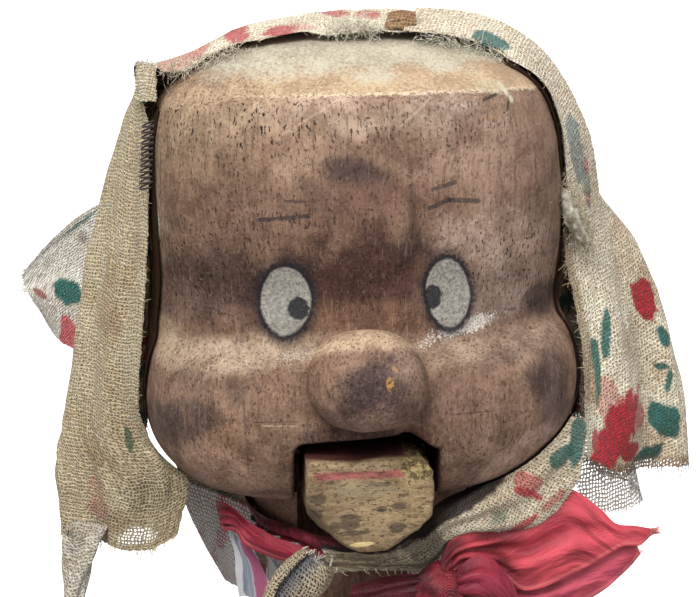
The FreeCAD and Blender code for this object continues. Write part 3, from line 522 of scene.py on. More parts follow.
    # A red-brown painted shadow in the notch at the mouth's right corner, and painted shade inside the mouth
    # slot
    lip = look.painted("lip")
    colour = look.mix(look.between(lip + (fine - 0.5) * 0.5, 0.3, 0.7) * 0.6, colour, rgb(92, 50, 46))
    colour = look.mix(look.painted("mouth"), colour, rgb(46, 25, 25))
    chip_tint = look.mix(look.between(fine, 0.4, 0.6), rgb(166, 166, 152), rgb(190, 190, 176))
    colour = look.mix(look.between(look.painted("chip") + (fine - 0.5) * 0.5, 0.42, 0.54), colour, chip_tint)
    return colour, rough, height


def paint_nose(look, place, colour, rough, height, fine):
    """The nose's small ochre chip and its dark specks."""
    x, y, z = look.split(place)
    x = x + (fine - 0.5) * 1.2
    z = z + (fine - 0.5) * 1.2
    chip = look.spot(x, z, (3.7, 86.2), (1.2, 1.9), 0, 0.6, 1.1)
    chip = chip * look.between(fine, 0.38, 0.5) * look.between(y, -60, -63)
    colour = look.mix(chip * 0.85, colour, rgb(190, 140, 74))
    sliver = look.spot(x, z, (5.2, 89.4), (1.3, 0.5), -40, 0.7, 1.1)
    colour = look.mix(sliver * look.between(y, -58, -61) * 0.45, colour, rgb(186, 140, 84))
    specks = look.between(look.noise(place, 0.6, 4.0, 0.7), 0.62, 0.68)
    colour = look.mix(specks * 0.4, colour, rgb(58, 44, 42))
    return colour, rough - 0.08, height


def paint_jaw(look, place, colour, rough, height, fine):
    """The jaw's painted stripe, its crimson inside, the rotted corner, the dark patches on its face and a
    painted highlight low on it.
    """
    x, y, z = look.split(place)
    wavy = z + (fine - 0.5) * 1.3
    face = look.between(y, -52.5, -54.0)
    grain = look.noise(look.stretch(place, (0.2, 0.5, 1.0)), 0.9, 4.0, 0.65)
    wood = look.mix(look.between(grain, 0.4, 0.6), rgb(116, 96, 62), rgb(182, 160, 112))
    colour = look.mix(0.22, colour, wood)
    patches = [
        ((-14.0, 55.4), (2.4, 1.5)), ((-14.8, 51.9), (2.2, 1.5)), ((-6.1, 49.3), (3.0, 2.6)),
        ((-10.0, 48.2), (1.4, 1.8)), ((5.5, 47.4), (2.3, 1.4)), ((6.1, 53.0), (2.2, 1.0)),
        ((1.8, 52.4), (1.5, 0.8)), ((-5.3, 46.5), (4.5, 0.8)), ((1.5, 58.6), (3.0, 0.7)),
    ]
    for centre, radii in patches:
        patch = 1 - look.between(look.oval(x, z, centre, radii) + (grain - 0.5) * 1.2, 0.75, 1.1)
        colour = look.mix(patch * face * 0.7, colour, rgb(70, 58, 50))
    sheet = look.spot(x, z, (-2.5, 57.6), (9.5, 1.7), -2, 0.8, 1.1)
    colour = look.mix(sheet * face * 0.5, colour, rgb(146, 132, 104))
    # A painted highlight: a pale sliver low on the jaw's face
    sliver = look.spot(x, z, (-3.4, 43.6), (3.4, 0.7), 4, 0.7, 1.1)
    colour = look.mix(sliver * 0.85, colour, rgb(222, 196, 140))
    stripe = look.between(wavy, 60.0, 60.5) * (1 - look.between(wavy, 61.9, 62.4)) * face
    stripe = stripe * look.between(x, -15.4, -14.4) * look.between(x, 8.6, 7.4)
    rose = look.mix(look.between(grain + fine * 0.3, 0.5, 0.75), rgb(122, 62, 62), rgb(176, 92, 94))
    colour = look.mix(stripe * look.between(fine, 0.3, 0.52) * 0.85, colour, rose)
    inside = look.between(y, -54.0, -50.5) * look.between(z, 60.0, 62.5)
    colour = look.mix(inside * 0.9, colour, rgb(70, 16, 24))
    corner = look.spot(x, z, (11.4, 62.4), (4.6, 3.2), 0, 0.8, 1.15)
    rot = look.between(look.noise(place, 0.7, 4.0, 0.7), 0.42, 0.56)
    colour = look.mix(corner * 0.85, colour, look.mix(rot, rgb(88, 72, 44), rgb(176, 156, 106)))
    return colour, rough, height - corner * rot * 0.3


# Pairs of height and half size of the head: its left and right side, its front at the cheeks and above
# them, and its back. MOUTH and JAW_OUTLINE are corners in the XZ plane.
SIDE_LEFT = [
    (48, 30), (50, 38), (53, 46), (57, 51.5), (62, 55.5), (68, 57.8), (75, 58.6), (84, 58), (92, 57),
    (100, 56.2), (110, 55.6), (122, 55.4), (135, 55.2), (145, 54.6), (152, 52.5), (158, 49), (163, 43.5),
    (167, 35), (169.5, 25),
]
SIDE_RIGHT = [
    (48, 27), (50, 34), (53, 43), (57, 49.5), (62, 54.5), (68, 58.2), (75, 60), (82, 60), (90, 57.8),
    (96, 55.2), (100, 54.6), (106, 55.4), (115, 56), (125, 56.2), (135, 56), (145, 54.8), (152, 52.4),
    (158, 48.6), (163, 43), (167, 34), (169.5, 25),
]
CHEEK_FRONT = [
    (48, 34), (50, 37.7), (54, 44), (60, 48), (68, 50.3), (76, 50.8), (84, 50), (90, 47.5), (100, 45),
]
BROW_FRONT = [
    (80, 42), (90, 41), (98, 41), (106, 41.6), (113, 43.6), (121, 45.4), (135, 46.2), (148, 45.8),
    (153, 44.8), (155, 42.6), (158, 38.5), (162, 33), (166, 26.5), (169.5, 18),
]
BACK = [
    (48, 28), (50, 31), (55, 37), (62, 40.5), (74, 43), (86, 44.6), (94, 45), (111, 46), (127, 46),
    (148, 44), (159, 40.5), (166, 33), (170, 22),
]
MOUTH = [
    (-19.2, 40), (-19.2, 66.5), (-17.6, 68), (-1, 68.6), (6.5, 69.4), (8.5, 70.4), (11, 69.6), (15, 66.3),
    (17.2, 65.4), (17.2, 40),
]
HEAD_FOOT = 49.6
HEAD_TOP = 169.9
SLOT_BACK = 2.0


def crease_height(x):
    """The height of the crease between the cheeks and the hollow of the eyes."""
    return np.where(x < 0, 92.5 + 0.02 * x, 89.5 + 0.14 * np.clip(x - 12, 0, 45))


def head_outside(points):
    """Distance outside the head's outer form, without its slot and rooms."""
    x, y, z = points[..., 0], points[..., 1], points[..., 2]
    wide = np.where(x < 0, profile(z, SIDE_LEFT), profile(z, SIDE_RIGHT))
    above = z - crease_height(x)
    front = profile(z, CHEEK_FRONT)
    front = front + (profile(z, BROW_FRONT) - front) * smooth(above, -6.5, 4.0)
    front = front - 1.6 * np.exp(-((above / 3.2) ** 2)) * smooth(np.abs(x), 8, 16)
    cheek = np.exp(-(((np.abs(x) - 37) / 16) ** 2) - ((z - 74) / 13) ** 2)
    front = front + 2.4 * cheek
    deep = np.where(y < 0, front, profile(z, BACK))
    power = np.where(y < 0, 3.1, 2.5)
    reach = ((np.abs(x) / wide) ** power + (np.abs(y) / deep) ** power) ** (1 / power)
    radius = np.hypot(x, y)
    field = radius - radius / np.maximum(reach, 1e-6)
    field = soft_max(field, z - HEAD_TOP, 4.0)
    return soft_max(field, HEAD_FOOT - z, 3.0)


def mouth_slot(x, y, z):
    """Distance outside the slot that holds the jaw."""
    return np.maximum(polygon_field(x, z, MOUTH), y - SLOT_BACK)


def head_field(points):
    """The carved head: its form, tool marks, mouth slot and the rooms that hold the neck and the lever."""
    x, y, z = points[..., 0], points[..., 1], points[..., 2]
    field = head_outside(points)
    near = np.abs(field) < 4
    close = points[near]
    waves = 0.55 * noise(close, 26, 3, 2) + 0.16 * noise(close, (5, 5, 9), 11, 2)
    facets = np.abs(noise(close, (13, 13, 17), 29, 1))
    field[near] += waves + 0.35 * facets
    slot = mouth_slot(x, y, z)
    field = soft_max(field, -slot, 0.9)
    lever_room = np.maximum(np.maximum(np.abs(x) - 8.5, z - 67.0), np.maximum(y - 20.0, -y))
    tenon_room = np.maximum(np.hypot(x, y) - 24.1, z - 61.1)
    return np.maximum(field, np.maximum(-lever_room, -tenon_room))


# Stains on the head, and among them painted shade and painted highlights, each a place on its front, two radii,
# a turn, a colour and a strength
HEAD_STAINS_AND_SHADING = [
    ((-45, 147), (14, 12), 0, (166, 143, 116), 0.8),
    ((-32, 154), (20, 7), 0, (178, 153, 124), 0.75),
    ((-5, 150), (17, 6), 0, (188, 162, 140), 0.85),
    ((22, 149), (15, 6), 0, (184, 160, 142), 0.85),
    ((-18, 142), (12, 7), 0, (184, 154, 128), 0.8),
    ((29, 140), (16, 9), 0, (174, 144, 126), 0.85),
    ((44, 132), (9, 14), 0, (142, 113, 97), 0.7),
    ((-38, 135), (14, 8), 0, (138, 110, 89), 0.7),
    ((3, 132), (6, 4), 0, (112, 82, 66), 0.5),
    ((-2.8, 135.7), (7.6, 3.8), -8, (80, 62, 60), 0.85),
    ((-12, 130), (3, 5), 40, (96, 74, 66), 0.5),
    ((-42, 123), (13, 11), 0, (124, 98, 80), 0.7),
    ((-28, 124), (12, 8), 0, (126, 97, 81), 0.7),
    ((-2, 125), (13, 7), 0, (120, 90, 76), 0.75),
    ((14, 126), (8, 6), 0, (128, 97, 82), 0.7),
    ((32, 117), (15, 9), 0, (186, 160, 143), 0.88),
    ((49, 118), (5, 16), 0, (122, 100, 86), 0.6),
    ((-53, 118), (4, 22), 0, (146, 124, 104), 0.8),
    # darker hollow of the eyes: grime, and painted shade of the hollow
    ((-38, 106), (17, 9), 0, (92, 70, 61), 0.85),
    ((-32, 108), (10, 6), 0, (74, 54, 48), 0.7),
    ((0, 109), (22, 9), 0, (76, 47, 40), 0.92),
    ((12, 117), (4.6, 4.8), 0, (60, 44, 41), 0.85),
    ((-16.3, 111.8), (4.5, 4), 0, (66, 48, 44), 0.5),
    ((-46, 101), (10, 5), 0, (112, 88, 76), 0.7),
    ((1, 98), (20, 4), 0, (124, 92, 74), 0.7),
    ((35, 102), (12, 8), 0, (146, 126, 114), 0.85),
    # painted shadow at the right end of the crease below the eyes
    ((47, 100), (6, 5), 15, (54, 42, 39), 0.8),
    # painted highlights on the cheek tops, where light from above catches them
    ((-34, 90.3), (22, 4.2), 3, (182, 160, 136), 0.95),
    ((-50, 93), (6, 4.5), 0, (178, 156, 127), 0.8),
    ((21, 89), (9, 3.6), 0, (174, 151, 130), 0.8),
    ((40, 90), (11, 4), 6, (162, 138, 120), 0.85),
    ((33, 86.8), (8, 2.4), 12, (98, 76, 70), 0.5),
    ((-27, 80), (14, 5), 0, (152, 121, 101), 0.7),
    ((-33.3, 82), (3, 3.5), 0, (92, 72, 66), 0.55),
    ((-44, 84), (5, 3), 0, (104, 84, 74), 0.5),
    ((-22, 70), (9, 7), 0, (144, 117, 97), 0.7),
    ((-36, 69), (5, 7), 0, (152, 118, 90), 0.5),
    ((-50, 71), (6, 6.5), 0, (88, 72, 68), 0.85),
    ((-42, 76.5), (5, 3.4), -20, (72, 58, 56), 0.75),
    ((-36, 60), (14, 5.5), -25, (186, 150, 128), 0.85),
    ((-24, 60), (7, 6), 0, (132, 103, 84), 0.5),
    ((20, 78), (9, 7), 0, (128, 99, 85), 0.7),
    ((33, 76), (7, 9), 0, (130, 102, 86), 0.7),
    ((47.5, 79), (5, 11), 8, (92, 72, 68), 0.85),
    ((42.9, 81.5), (3.6, 3.6), 0, (78, 60, 58), 0.7),
    ((50, 70), (5, 7), 0, (104, 86, 78), 0.6),
    ((25, 65), (13, 7), 0, (146, 118, 101), 0.8),
    ((39, 60), (12, 5), 35, (190, 160, 143), 0.85),
    # painted shadow under the nose
    ((-3, 70.5), (13, 2.2), 0, (80, 56, 54), 0.8),
]
NOSE_STAINS = [
    ((-13, 86), (7, 8), 0, (144, 113, 91), 0.7),
    ((9, 85), (7, 8), 0, (146, 119, 103), 0.8),
    ((-3, 77), (12, 4.5), 0, (172, 140, 124), 0.9),
    ((-1.5, 86.0), (9.0, 5.0), 38, (84, 65, 64), 0.95),
    ((4.5, 84), (4, 5), 0, (84, 65, 64), 0.7),
    ((8, 78), (3.4, 3.4), 0, (92, 70, 66), 0.6),
]
JAW_STAINS = [
    ((-11, 54), (5, 6), 0, (120, 98, 76), 0.7),
    ((9, 53), (6, 6), 0, (172, 149, 112), 0.7),
    ((-4, 46), (9, 4), 0, (134, 112, 84), 0.6),
    ((2, 57), (9, 4), 0, (160, 138, 104), 0.6),
]
# Places where the head's wood is pitted, and where pale dust lies
PITTED = [
    ((-30, 149), (22, 9), 1.0), ((-42, 110), (14, 12), 0.9), ((38, 112), (14, 11), 1.0),
    ((-5, 148), (20, 7), 0.7), ((20, 146), (16, 7), 0.5), ((-25, 122), (30, 10), 0.45),
    ((45, 100), (8, 8), 0.6), ((-36, 86), (24, 6), 0.35), ((30, 90), (24, 5), 0.3),
    ((-30, 68), (20, 12), 0.35), ((30, 68), (20, 12), 0.3), ((0, 108), (20, 8), 0.4),
]
DUSTY = [
    ((26, 94.8), (11, 2.4), 15, 0.75), ((16, 91.5), (4, 1.6), 20, 0.5), ((-45, 93), (9, 2.0), 0, 0.25),
    ((-18, 90), (5, 1.8), 0, 0.4),
]
# The box that each carved form is sought in, and the step of its grid
HEAD_BOX = ((-63, -56, 47), (63, 50, 172), 1.0)
NOSE_BOX = ((-18, -69, 70), (17, -40, 99), 0.6)
JAW_BOX = ((-19, -58, 39), (18, -1, 67), 0.6)
# The middle of the nose, its reach to the sides, to the front, up and down, and how square it is
NOSE_MIDDLE = (-0.7, -50.5, 84.2)
NOSE_REACH = (15.4, 16.3, 12.5, 12.4)
NOSE_POWER = 2.3


def make_head():
    points, faces = surface_net(head_field, *HEAD_BOX)
    x, y, z = points.T
    uneven = 0.3 * noise(points, (5, 5, 7), 5) + 0.12 * noise(points, (1.8, 1.8, 5), 6, 2)
    tint = stained(points, (142, 113, 94), HEAD_STAINS_AND_SHADING, uneven)
    pitted = np.zeros(len(points))
    for centre, radii, strength in PITTED:
        pitted = np.maximum(pitted, strength * blot(points, centre, radii, 0, 0.7, uneven))
    dust = np.zeros(len(points))
    for centre, radii, turn, strength in DUSTY:
        dust = np.maximum(dust, strength * blot(points, centre, radii, turn, 0.6, uneven))
    # mouth marks the inside of the slot for painted shade, and lip the notch at its right corner for a painted
    # shadow
    slot = mouth_slot(x, y, z)
    mouth = (1 - smooth(slot, 0.2, 0.7)) * smooth(y, -51.5, -48.5)
    lip = blot(points, (12.5, 69.6), (4.2, 2.2), -38, 0.3, uneven)
    chip = (1 - smooth(np.hypot((x + 54.2) / 3.3, (z - 122.5) / 9.0), 0.7, 1.1)) * smooth(-y, 5, 9)
    layers = {"tint": tint, "pitted": pitted, "dust": dust, "mouth": mouth, "lip": lip, "chip": chip}
    piece("head_carved", points, faces, head_wood, replaces=["head"], paint=layers)


def make_nose():
    def field(points):
        x, y, z = (points[..., i] - NOSE_MIDDLE[i] for i in range(3))
        wide, deep, up, down = NOSE_REACH
        x = x / (wide - 0.8 * smooth(z, -4, 10))
        y = y / deep
        z = np.where(z > 0, z / up, z / down)
        reach = sum(np.abs(axis) ** NOSE_POWER for axis in (x, y, z)) ** (1 / NOSE_POWER)
        field = (reach - 1) * 13
        near = np.abs(field) < 3
        close = points[near]
        field[near] += 0.5 * noise(close, 13, 21, 2) + 0.3 * np.abs(noise(close, 6, 5, 1))
        return np.maximum(field, points[..., 1] + 41.0)

    points, faces = surface_net(field, *NOSE_BOX)
    uneven = 0.3 * noise(points, 4, 5) + 0.15 * noise(points, 1.5, 6, 2)
    tint = stained(points, (146, 117, 98), NOSE_STAINS, uneven)
    rim = smooth(points[:, 2] + 0.35 * (points[:, 1] + 60) + 2.0 * uneven, 92.0, 95.0)
    tint = over(tint, (204, 177, 147), rim)
    layers = {"tint": tint, "pitted": 0.3 * np.ones(len(points))}
    piece("nose_carved", points, faces, nose_wood, replaces=["nose"], paint=layers)


JAW_OUTLINE = [
    (-16.6, 64.9), (-7.3, 64.5), (-3.4, 63.9), (4.1, 64.9), (7.4, 65.2), (11.1, 64.5), (13.5, 63.2),
    (15.4, 61.0), (15.4, 54.3), (14.6, 49.7), (11.2, 46.2), (6.4, 43.0), (3.0, 41.2), (-4.0, 41.1),
    (-8.5, 43.2), (-13.8, 46.4), (-16.7, 49.5), (-16.8, 55.0),
]


def make_jaw():
    def field(points):
        x, y, z = points[..., 0], points[..., 1], points[..., 2]
        outline = polygon_field(x, z, JAW_OUTLINE)
        leaning = y + 55.4 - 0.03 * (z - 55)
        block = soft_max(outline, -leaning, 2.0)
        block = soft_max(block, y + 3.2, 0.8)
        under = np.clip(41.0 + 0.477 * (y + 46.5), 30.0, 48.45)
        block = np.maximum(block, (under - z) * 0.9)
        bevel = 0.78 * (-(x + 12.3)) + 0.62 * (48.6 - z)
        block = soft_max(block, bevel - 0.4 * (y + 55.0), 0.8)
        near = np.abs(block) < 3
        close = points[near]
        corner = np.exp(-(((close[:, 0] - 12) / 5) ** 2) - ((close[:, 2] - 62) / 4) ** 2)
        block[near] += 0.3 * noise(close, 9, 41, 2) + 0.14 * noise(close, (5, 3, 1.6), 43, 2)
        block[near] += 0.9 * corner * np.abs(noise(close, 2.6, 47, 2))
        return block

    points, faces = surface_net(field, *JAW_BOX)
    uneven = 0.35 * noise(points, (6, 3, 3), 5)
    tint = stained(points, (160, 136, 108), JAW_STAINS, uneven)
    # Painted shade: the jaw darkens to dark brown behind its face, where it sits inside the mouth slot
    tint = over(tint, (60, 44, 32), smooth(points[:, 1], -54.0, -49.0) * 0.7)
    layers = {"tint": tint, "pitted": 0.4 * np.ones(len(points))}
    piece("jaw_carved", points, faces, jaw_wood, "jaw", replaces=["jaw"], paint=layers)


head_wood = carved_wood(
    "carved_head_wood", (1.0, 1.0, 0.11), (204, 176, 148), (158, 127, 104), (112, 81, 65), 1.0, paint_face
)
nose_wood = carved_wood(
    "carved_nose_wood", (1.0, 0.5, 0.5), (206, 180, 148), (142, 110, 90), (104, 76, 64), 1.0, paint_nose
)
jaw_wood = carved_wood(
    "carved_jaw_wood", (0.22, 0.5, 1.0), (196, 172, 124), (152, 128, 90), (104, 82, 54), 1.6, paint_jaw
)
neck_wood = carved_wood(
    "turned_neck_wood", (1.0, 1.0, 0.05), (190, 154, 126), (156, 120, 100), (106, 78, 66), 1.3
)
hand_wood = carved_wood(
    "carved_hand_wood", (1.0, 1.0, 0.12), (214, 190, 160), (180, 148, 120), (136, 104, 82)
)
make_head()
make_nose()
make_jaw()


# ---------------------------------------------------------------- metal and carried-over nodes


def metal(name, colour, worn, roughness):
    look = Look(name, Metallic=1.0)
    place = look.place()
    brushed = look.noise(look.stretch(place, (1.0, 0.08, 1.0)), 6.0, 4.0, 0.6)
    cloud = look.noise(place, 0.5, 4.0, 0.6)
    tint = look.mix(look.between(cloud, 0.45, 0.7), rgb(*colour), rgb(*worn))
    rough = look.between(brushed + cloud, 0.6, 1.5) * 0.35 + roughness
    return look.finish(tint, rough, brushed * 0.05)


steel = metal("steel", (150, 148, 144), (96, 84, 72), 0.28)
brass = metal("brass", (182, 144, 82), (110, 84, 50), 0.26)
CARRIED = {
    "neck": neck_wood, "nose_dowel": neck_wood, "neck_pegs": neck_wood, "left_hand": hand_wood,
    "right_hand": hand_wood, "jaw_pin": steel, "jaw_lever": steel, "lever_screws": steel,
    "jaw_spring": steel, "spring_anchor_pin": steel, "collar_tacks": brass,
}
for node_name, carried_material in CARRIED.items():
    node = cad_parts[node_name]
    node.data.materials.clear()
    node.data.materials.append(carried_material)


# ---------------------------------------------------------------- cloth


# The spacing of the satin's floats and of the cotton's threads
SATIN_FLOAT = 0.62
COTTON_PITCH = 0.55


def open_weave(name, pitch, thread, fray, gap_tint, dirt_and_thread_shade=0.42):
    """Open plain weave: round threads, ragged where the layer named edge is small, with painted shade where the
    threads dip low. Light comes through the gaps where the layer named open is above 0. Elsewhere they take
    gap_tint, which in its dark tints is painted shade of the layers behind, and they are wide where open
    is below 0."""
    look = Look(name, Specular_IOR_Level=0.12, Sheen_Weight=0.15, Sheen_Roughness=0.6)
    threads = look.painted("thread", 1)
    wander = look.noise(threads, 0.28, 3.0, 0.6)
    slub = look.noise(threads, 0.9, 3.0, 0.6)
    u, v, _ = look.split(threads)
    u = (u + (wander - 0.5) * 2.0) * (1 / pitch)
    v = (v + (look.noise(look.stretch(threads, (1, 1, 7)), 0.31, 3.0, 0.6) - 0.5) * 2.0) * (1 / pitch)
    bare = look.split(look.painted("open", 1))[0]
    half = (1 - look.sum("ABSOLUTE", bare) * 0.35) * (thread / 2)
    masks, rounds = [], []
    for run in (u, v):
        off = look.sum("ABSOLUTE", look.sum("FRACT", run + 100.0) - 0.5)
        width = half + (slub - 0.5) * 0.3
        gap = off - width
        masks.append(1 - look.between(gap, -0.04, 0.05))
        rounds.append(1 - look.between(off, 0.0, half + 0.05))
    over = look.sum("SINE", u * PI) * look.sum("SINE", v * PI)
    relief = look.sum("MAXIMUM", rounds[0] * (1 + over * 0.5), rounds[1] * (1 - over * 0.5))
    solid = look.sum("MAXIMUM", masks[0], masks[1])
    edge = look.painted("edge") - look.noise(threads, 0.8, 3.0, 0.7) * 2.0 * fray + 0.5 * fray
    through = look.sum("MULTIPLY", 1 - solid, look.between(bare + (wander - 0.5), 0.2, 0.8))
    kept = (1 - through) * look.between(edge, 0.0, 0.25)
    grime = look.noise(threads, 0.05, 4.0, 0.6)
    colour = look.painted("print", 0)
    shade = look.between(slub * 0.6 + grime * 0.4, 0.35, 0.65)
    colour = look.mix(1.0, colour, look.mix(shade, rgb(196, 182, 164), rgb(255, 255, 255)), "MULTIPLY")
    # Painted shade: the threads darken where they dip low, by the share given as the last argument
    lows = 1 - look.between(relief, 0.1, 0.85)
    colour = look.mix(lows * dirt_and_thread_shade, colour, look.mix(0.7, colour, rgb(60, 42, 28)))
    # The gaps take gap_tint; a dark gap_tint is painted shade of the layers behind
    colour = look.mix((1 - solid) * 0.85, colour, rgb(*gap_tint))
    rough = 0.9 - slub * 0.1
    return look.finish(colour, rough, relief * 0.28 * pitch + grime * 0.3, kept)


def woven_shine(name, roughness):
    """Satin: long floats that lie slantwise, with soft creases, a painted sheen on the floats and painted shade
    in the creases.
    """
    look = Look(name, Specular_IOR_Level=0.25, Sheen_Weight=0.03, Sheen_Roughness=0.3, Anisotropic=0.4)
    threads = look.painted("thread", 1)
    u, v, _ = look.split(threads)
    slant = look.sum("SINE", (u * 0.9 + v * 1.0) * (2 * PI / SATIN_FLOAT))
    floats = look.noise(look.stretch(threads, (1.0, 0.5, 1.0)), 2.4, 3.0, 0.6)
    creases = look.noise(look.stretch(threads, (1.0, 0.25, 1.0)), 0.22, 4.0, 0.55, 0.5)
    colour = look.painted("print", 0)
    # Painted sheen: a paler pink laid over the floats
    sheen = look.mix(0.45, colour, rgb(240, 128, 140))
    colour = look.mix(look.between(floats + slant * 0.2, 0.3, 0.8) * 0.4, colour, sheen)
    # Painted shade: the creases darken towards deep crimson
    colour = look.mix(look.between(creases, 0.6, 0.36) * 0.6, colour, look.mix(0.7, colour, rgb(52, 4, 12)))
    edge = look.painted("edge") - look.noise(threads, 1.1, 3.0, 0.7) * 1.3 + 0.45
    rough = floats * 0.18 + roughness
    relief = slant * 0.02 + floats * 0.04 + creases * 1.7
    return look.finish(colour, rough, relief, look.between(edge, 0.0, 0.2))


def close_weave(name):
    """Thin printed cotton, woven closely."""
    look = Look(name, Specular_IOR_Level=0.2, Sheen_Weight=0.3, Sheen_Roughness=0.5)
    threads = look.painted("thread", 1)
    u, v, _ = look.split(threads)
    weave = look.sum("SINE", u * (2 * PI / COTTON_PITCH)) * look.sum("SINE", v * (2 * PI / COTTON_PITCH))
    slub = look.noise(look.stretch(threads, (1.0, 0.1, 1.0)), 1.6, 3.0, 0.6)
    dirt_and_thread_shade = look.noise(threads, 0.035, 4.0, 0.6)
    colour = look.painted("print", 0)
    colour = look.mix(look.between(dirt_and_thread_shade, 0.45, 0.75) * 0.5, colour, look.mix(0.55, colour, rgb(150, 128, 100)))
    colour = look.mix(look.between(slub, 0.5, 0.8) * 0.2, colour, rgb(120, 112, 104), "MULTIPLY")
    edge = look.painted("edge") - look.noise(threads, 1.4, 3.0, 0.7) * 0.8 + 0.3
    rough = 0.85 - slub * 0.1
    relief = weave * 0.03 + slub * 0.08 + dirt_and_thread_shade * 0.8
    return look.finish(colour, rough, relief, look.between(edge, 0.0, 0.15))


coarse_cloth = open_weave("scarf_open_weave", 0.98, 0.68, 1.0, (70, 50, 34))
fine_gauze = open_weave("scarf_fine_gauze", 1.1, 0.72, 1.2, (176, 168, 158), 0.15)
corner_cloth = open_weave("scarf_bleached_weave", 0.9, 0.8, 1.0, (186, 178, 160), 0.3)
pale_mesh = open_weave("scarf_pale_mesh", 1.3, 0.46, 0.8, (250, 247, 246), 0.1)
satin = woven_shine("ribbon_satin_weave", 0.4)
cotton = close_weave("printed_cotton")

# Tints of the cloths and their print, from 0 to 255
GROUND = (251, 243, 220)
KHAKI = (220, 206, 172)
WHITE = (236, 234, 222)
RED = (206, 44, 66)
PINK = (226, 130, 128)
TEAL = (52, 124, 118)
BROWN = (124, 94, 66)


# The ends of a grid: its first and last column, and its first and last row
ALL_ENDS = ("u0", "u1", "v0", "v1")


def printed(grid, ground, motifs):
    """Colour at each point of a grid: the ground, with a soft ellipsoid of colour for each motif."""
    colour = one_tint(grid.shape[:2], ground)
    uneven = 0.22 * noise(grid, 3.0, 61)
    for centre, radii, turn, tint, strength in motifs:
        angle = math.radians(turn)
        dx, dy, dz = np.moveaxis(grid - np.array(centre, float), -1, 0)
        along = dx * math.cos(angle) + dz * math.sin(angle)
        across = dz * math.cos(angle) - dx * math.sin(angle)
        reach = np.sqrt((along / radii[0]) ** 2 + (across / radii[1]) ** 2 + (dy / radii[2]) ** 2)
        colour = over(colour, tint, strength * (1 - smooth(reach + uneven, 0.9, 1.05)))
    return colour


def sprigs(u, v, colour, spacing, seed, flower, leaf, size=1.0, strength=0.85):
    """A scattered print of five-petalled flowers, each between two leaves, drawn in mm of cloth."""
    draw = np.random.default_rng(seed)
    for cu in np.arange(spacing / 2, u.max() + spacing, spacing):
        for row, cv in enumerate(np.arange(spacing / 2, v.max() + spacing, spacing)):
            cx = cu + (row % 2) * spacing / 2 + draw.uniform(-2, 2)
            cy = cv + draw.uniform(-2, 2)
            turn = draw.uniform(0, 2 * PI)
            du, dv = (u - cx) / size, (v - cy) / size
            angle = np.arctan2(dv, du) - turn
            reach = np.hypot(du, dv)
            petals = 1 - smooth(reach, 2.9 + 1.2 * np.cos(5 * angle), 3.9 + 1.2 * np.cos(5 * angle))
            eye = 1 - smooth(reach, 0.9, 1.5)
            green = np.zeros(u.shape)
            for side in (0.6, -0.9):
                lu = du - 7.0 * math.cos(turn + side)
                lv = dv - 7.0 * math.sin(turn + side)
                along = lu * math.cos(turn + side) + lv * math.sin(turn + side)
                across = lv * math.cos(turn + side) - lu * math.sin(turn + side)
                green = np.maximum(green, 1 - smooth(np.hypot(along / 3.4, across / 1.5), 0.8, 1.1))
            for mask, tint in ((green, leaf), (petals, flower), (eye, GROUND)):
                colour = over(colour, tint, strength * mask)
    return colour


def clear_of_head(grid, gap, hug=False):
    """Moves the points of a grid that are nearer the head than gap straight out from it. With hug, farther
    points are drawn in to it too."""
    step = 0.5
    for _ in range(3):
        distance = head_outside(grid)
        slope = [head_outside(grid + step * axis) - head_outside(grid - step * axis) for axis in np.eye(3)]
        short = gap - distance
        grid = grid + unit(np.stack(slope, -1)) * (short if hug else np.clip(short, 0, None))[..., None]
    return grid


def cloth(name, grid, material, colour, fray=ALL_ENDS, replaces=(), body="root", light=0.0):
    """A sheet over a grid of points, with its threads, its free edges and its print as painted layers."""
    u, v = thread_lengths(grid)
    far = np.full(u.shape, 50.0)
    ends = {"u0": u, "u1": u[:, -1:] - u, "v0": v, "v1": v[-1:] - v}
    for end in fray:
        far = np.minimum(far, ends[end])
    thread = np.stack([u.ravel(), v.ravel(), np.zeros(u.size)], 1)
    light = np.broadcast_to(light, u.shape)
    layers = {"thread": thread, "edge": far.ravel(), "print": colour.reshape(-1, 4), "open": light.ravel()}
    faces = grid_faces(*grid.shape[:2])
    return piece(name, grid.reshape(-1, 3), faces, material, body, replaces, layers)


def fibres(name, roots, ways, length, width, seed, curl, tint):
    """Loose threads: a thin bent strip from each root along its way."""
    draw = np.random.default_rng(seed)
    count, steps = len(roots), 7
    ways = unit(ways)
    long = length * draw.uniform(0.35, 1.0, (count, 1))
    bend = draw.normal(0, curl, (count, 3))
    swirl = draw.normal(0, curl, (count, 3))
    share = np.linspace(0, 1, steps)[:, None, None]
    line = roots + ways * long * share + bend * long * share**2 + swirl * long * (share**3 - share**2)
    side = unit(np.cross(ways, draw.normal(0, 1, (count, 3)))) * width / 2
    thin = 1 - 0.5 * share
    points = np.stack([line - side * thin, line + side * thin], 2)
    points = np.swapaxes(points, 0, 1)
    base = (np.arange(count) * steps * 2)[:, None] + 2 * np.arange(steps - 1)[None]
    faces = np.stack([base, base + 1, base + 3, base + 2], -1).reshape(-1, 4)
    layers = {"print": one_tint((count * steps * 2,), tint)}
    return piece(name, points.reshape(-1, 3), faces, loose_thread, paint=layers)


def thread_look(name, sheen):
    look = Look(name, Specular_IOR_Level=sheen / 2, Sheen_Weight=sheen)
    place = look.place()
    fuzz = look.noise(place, 3.0, 3.0, 0.6)
    colour = look.mix(look.between(fuzz, 0.3, 0.7) * 0.4, look.painted("print", 0), rgb(70, 54, 40))
    return look.finish(colour, 0.95 - fuzz * 0.1, fuzz * 0.1)


loose_thread = thread_look("loose_thread", 0.3)
# A dark cloth without sheen for the lining strips, which are partly painted shade of the gap under the scarf
lining_and_gap_shade_cloth = thread_look("dark_lining_and_gap_shade", 0.0)


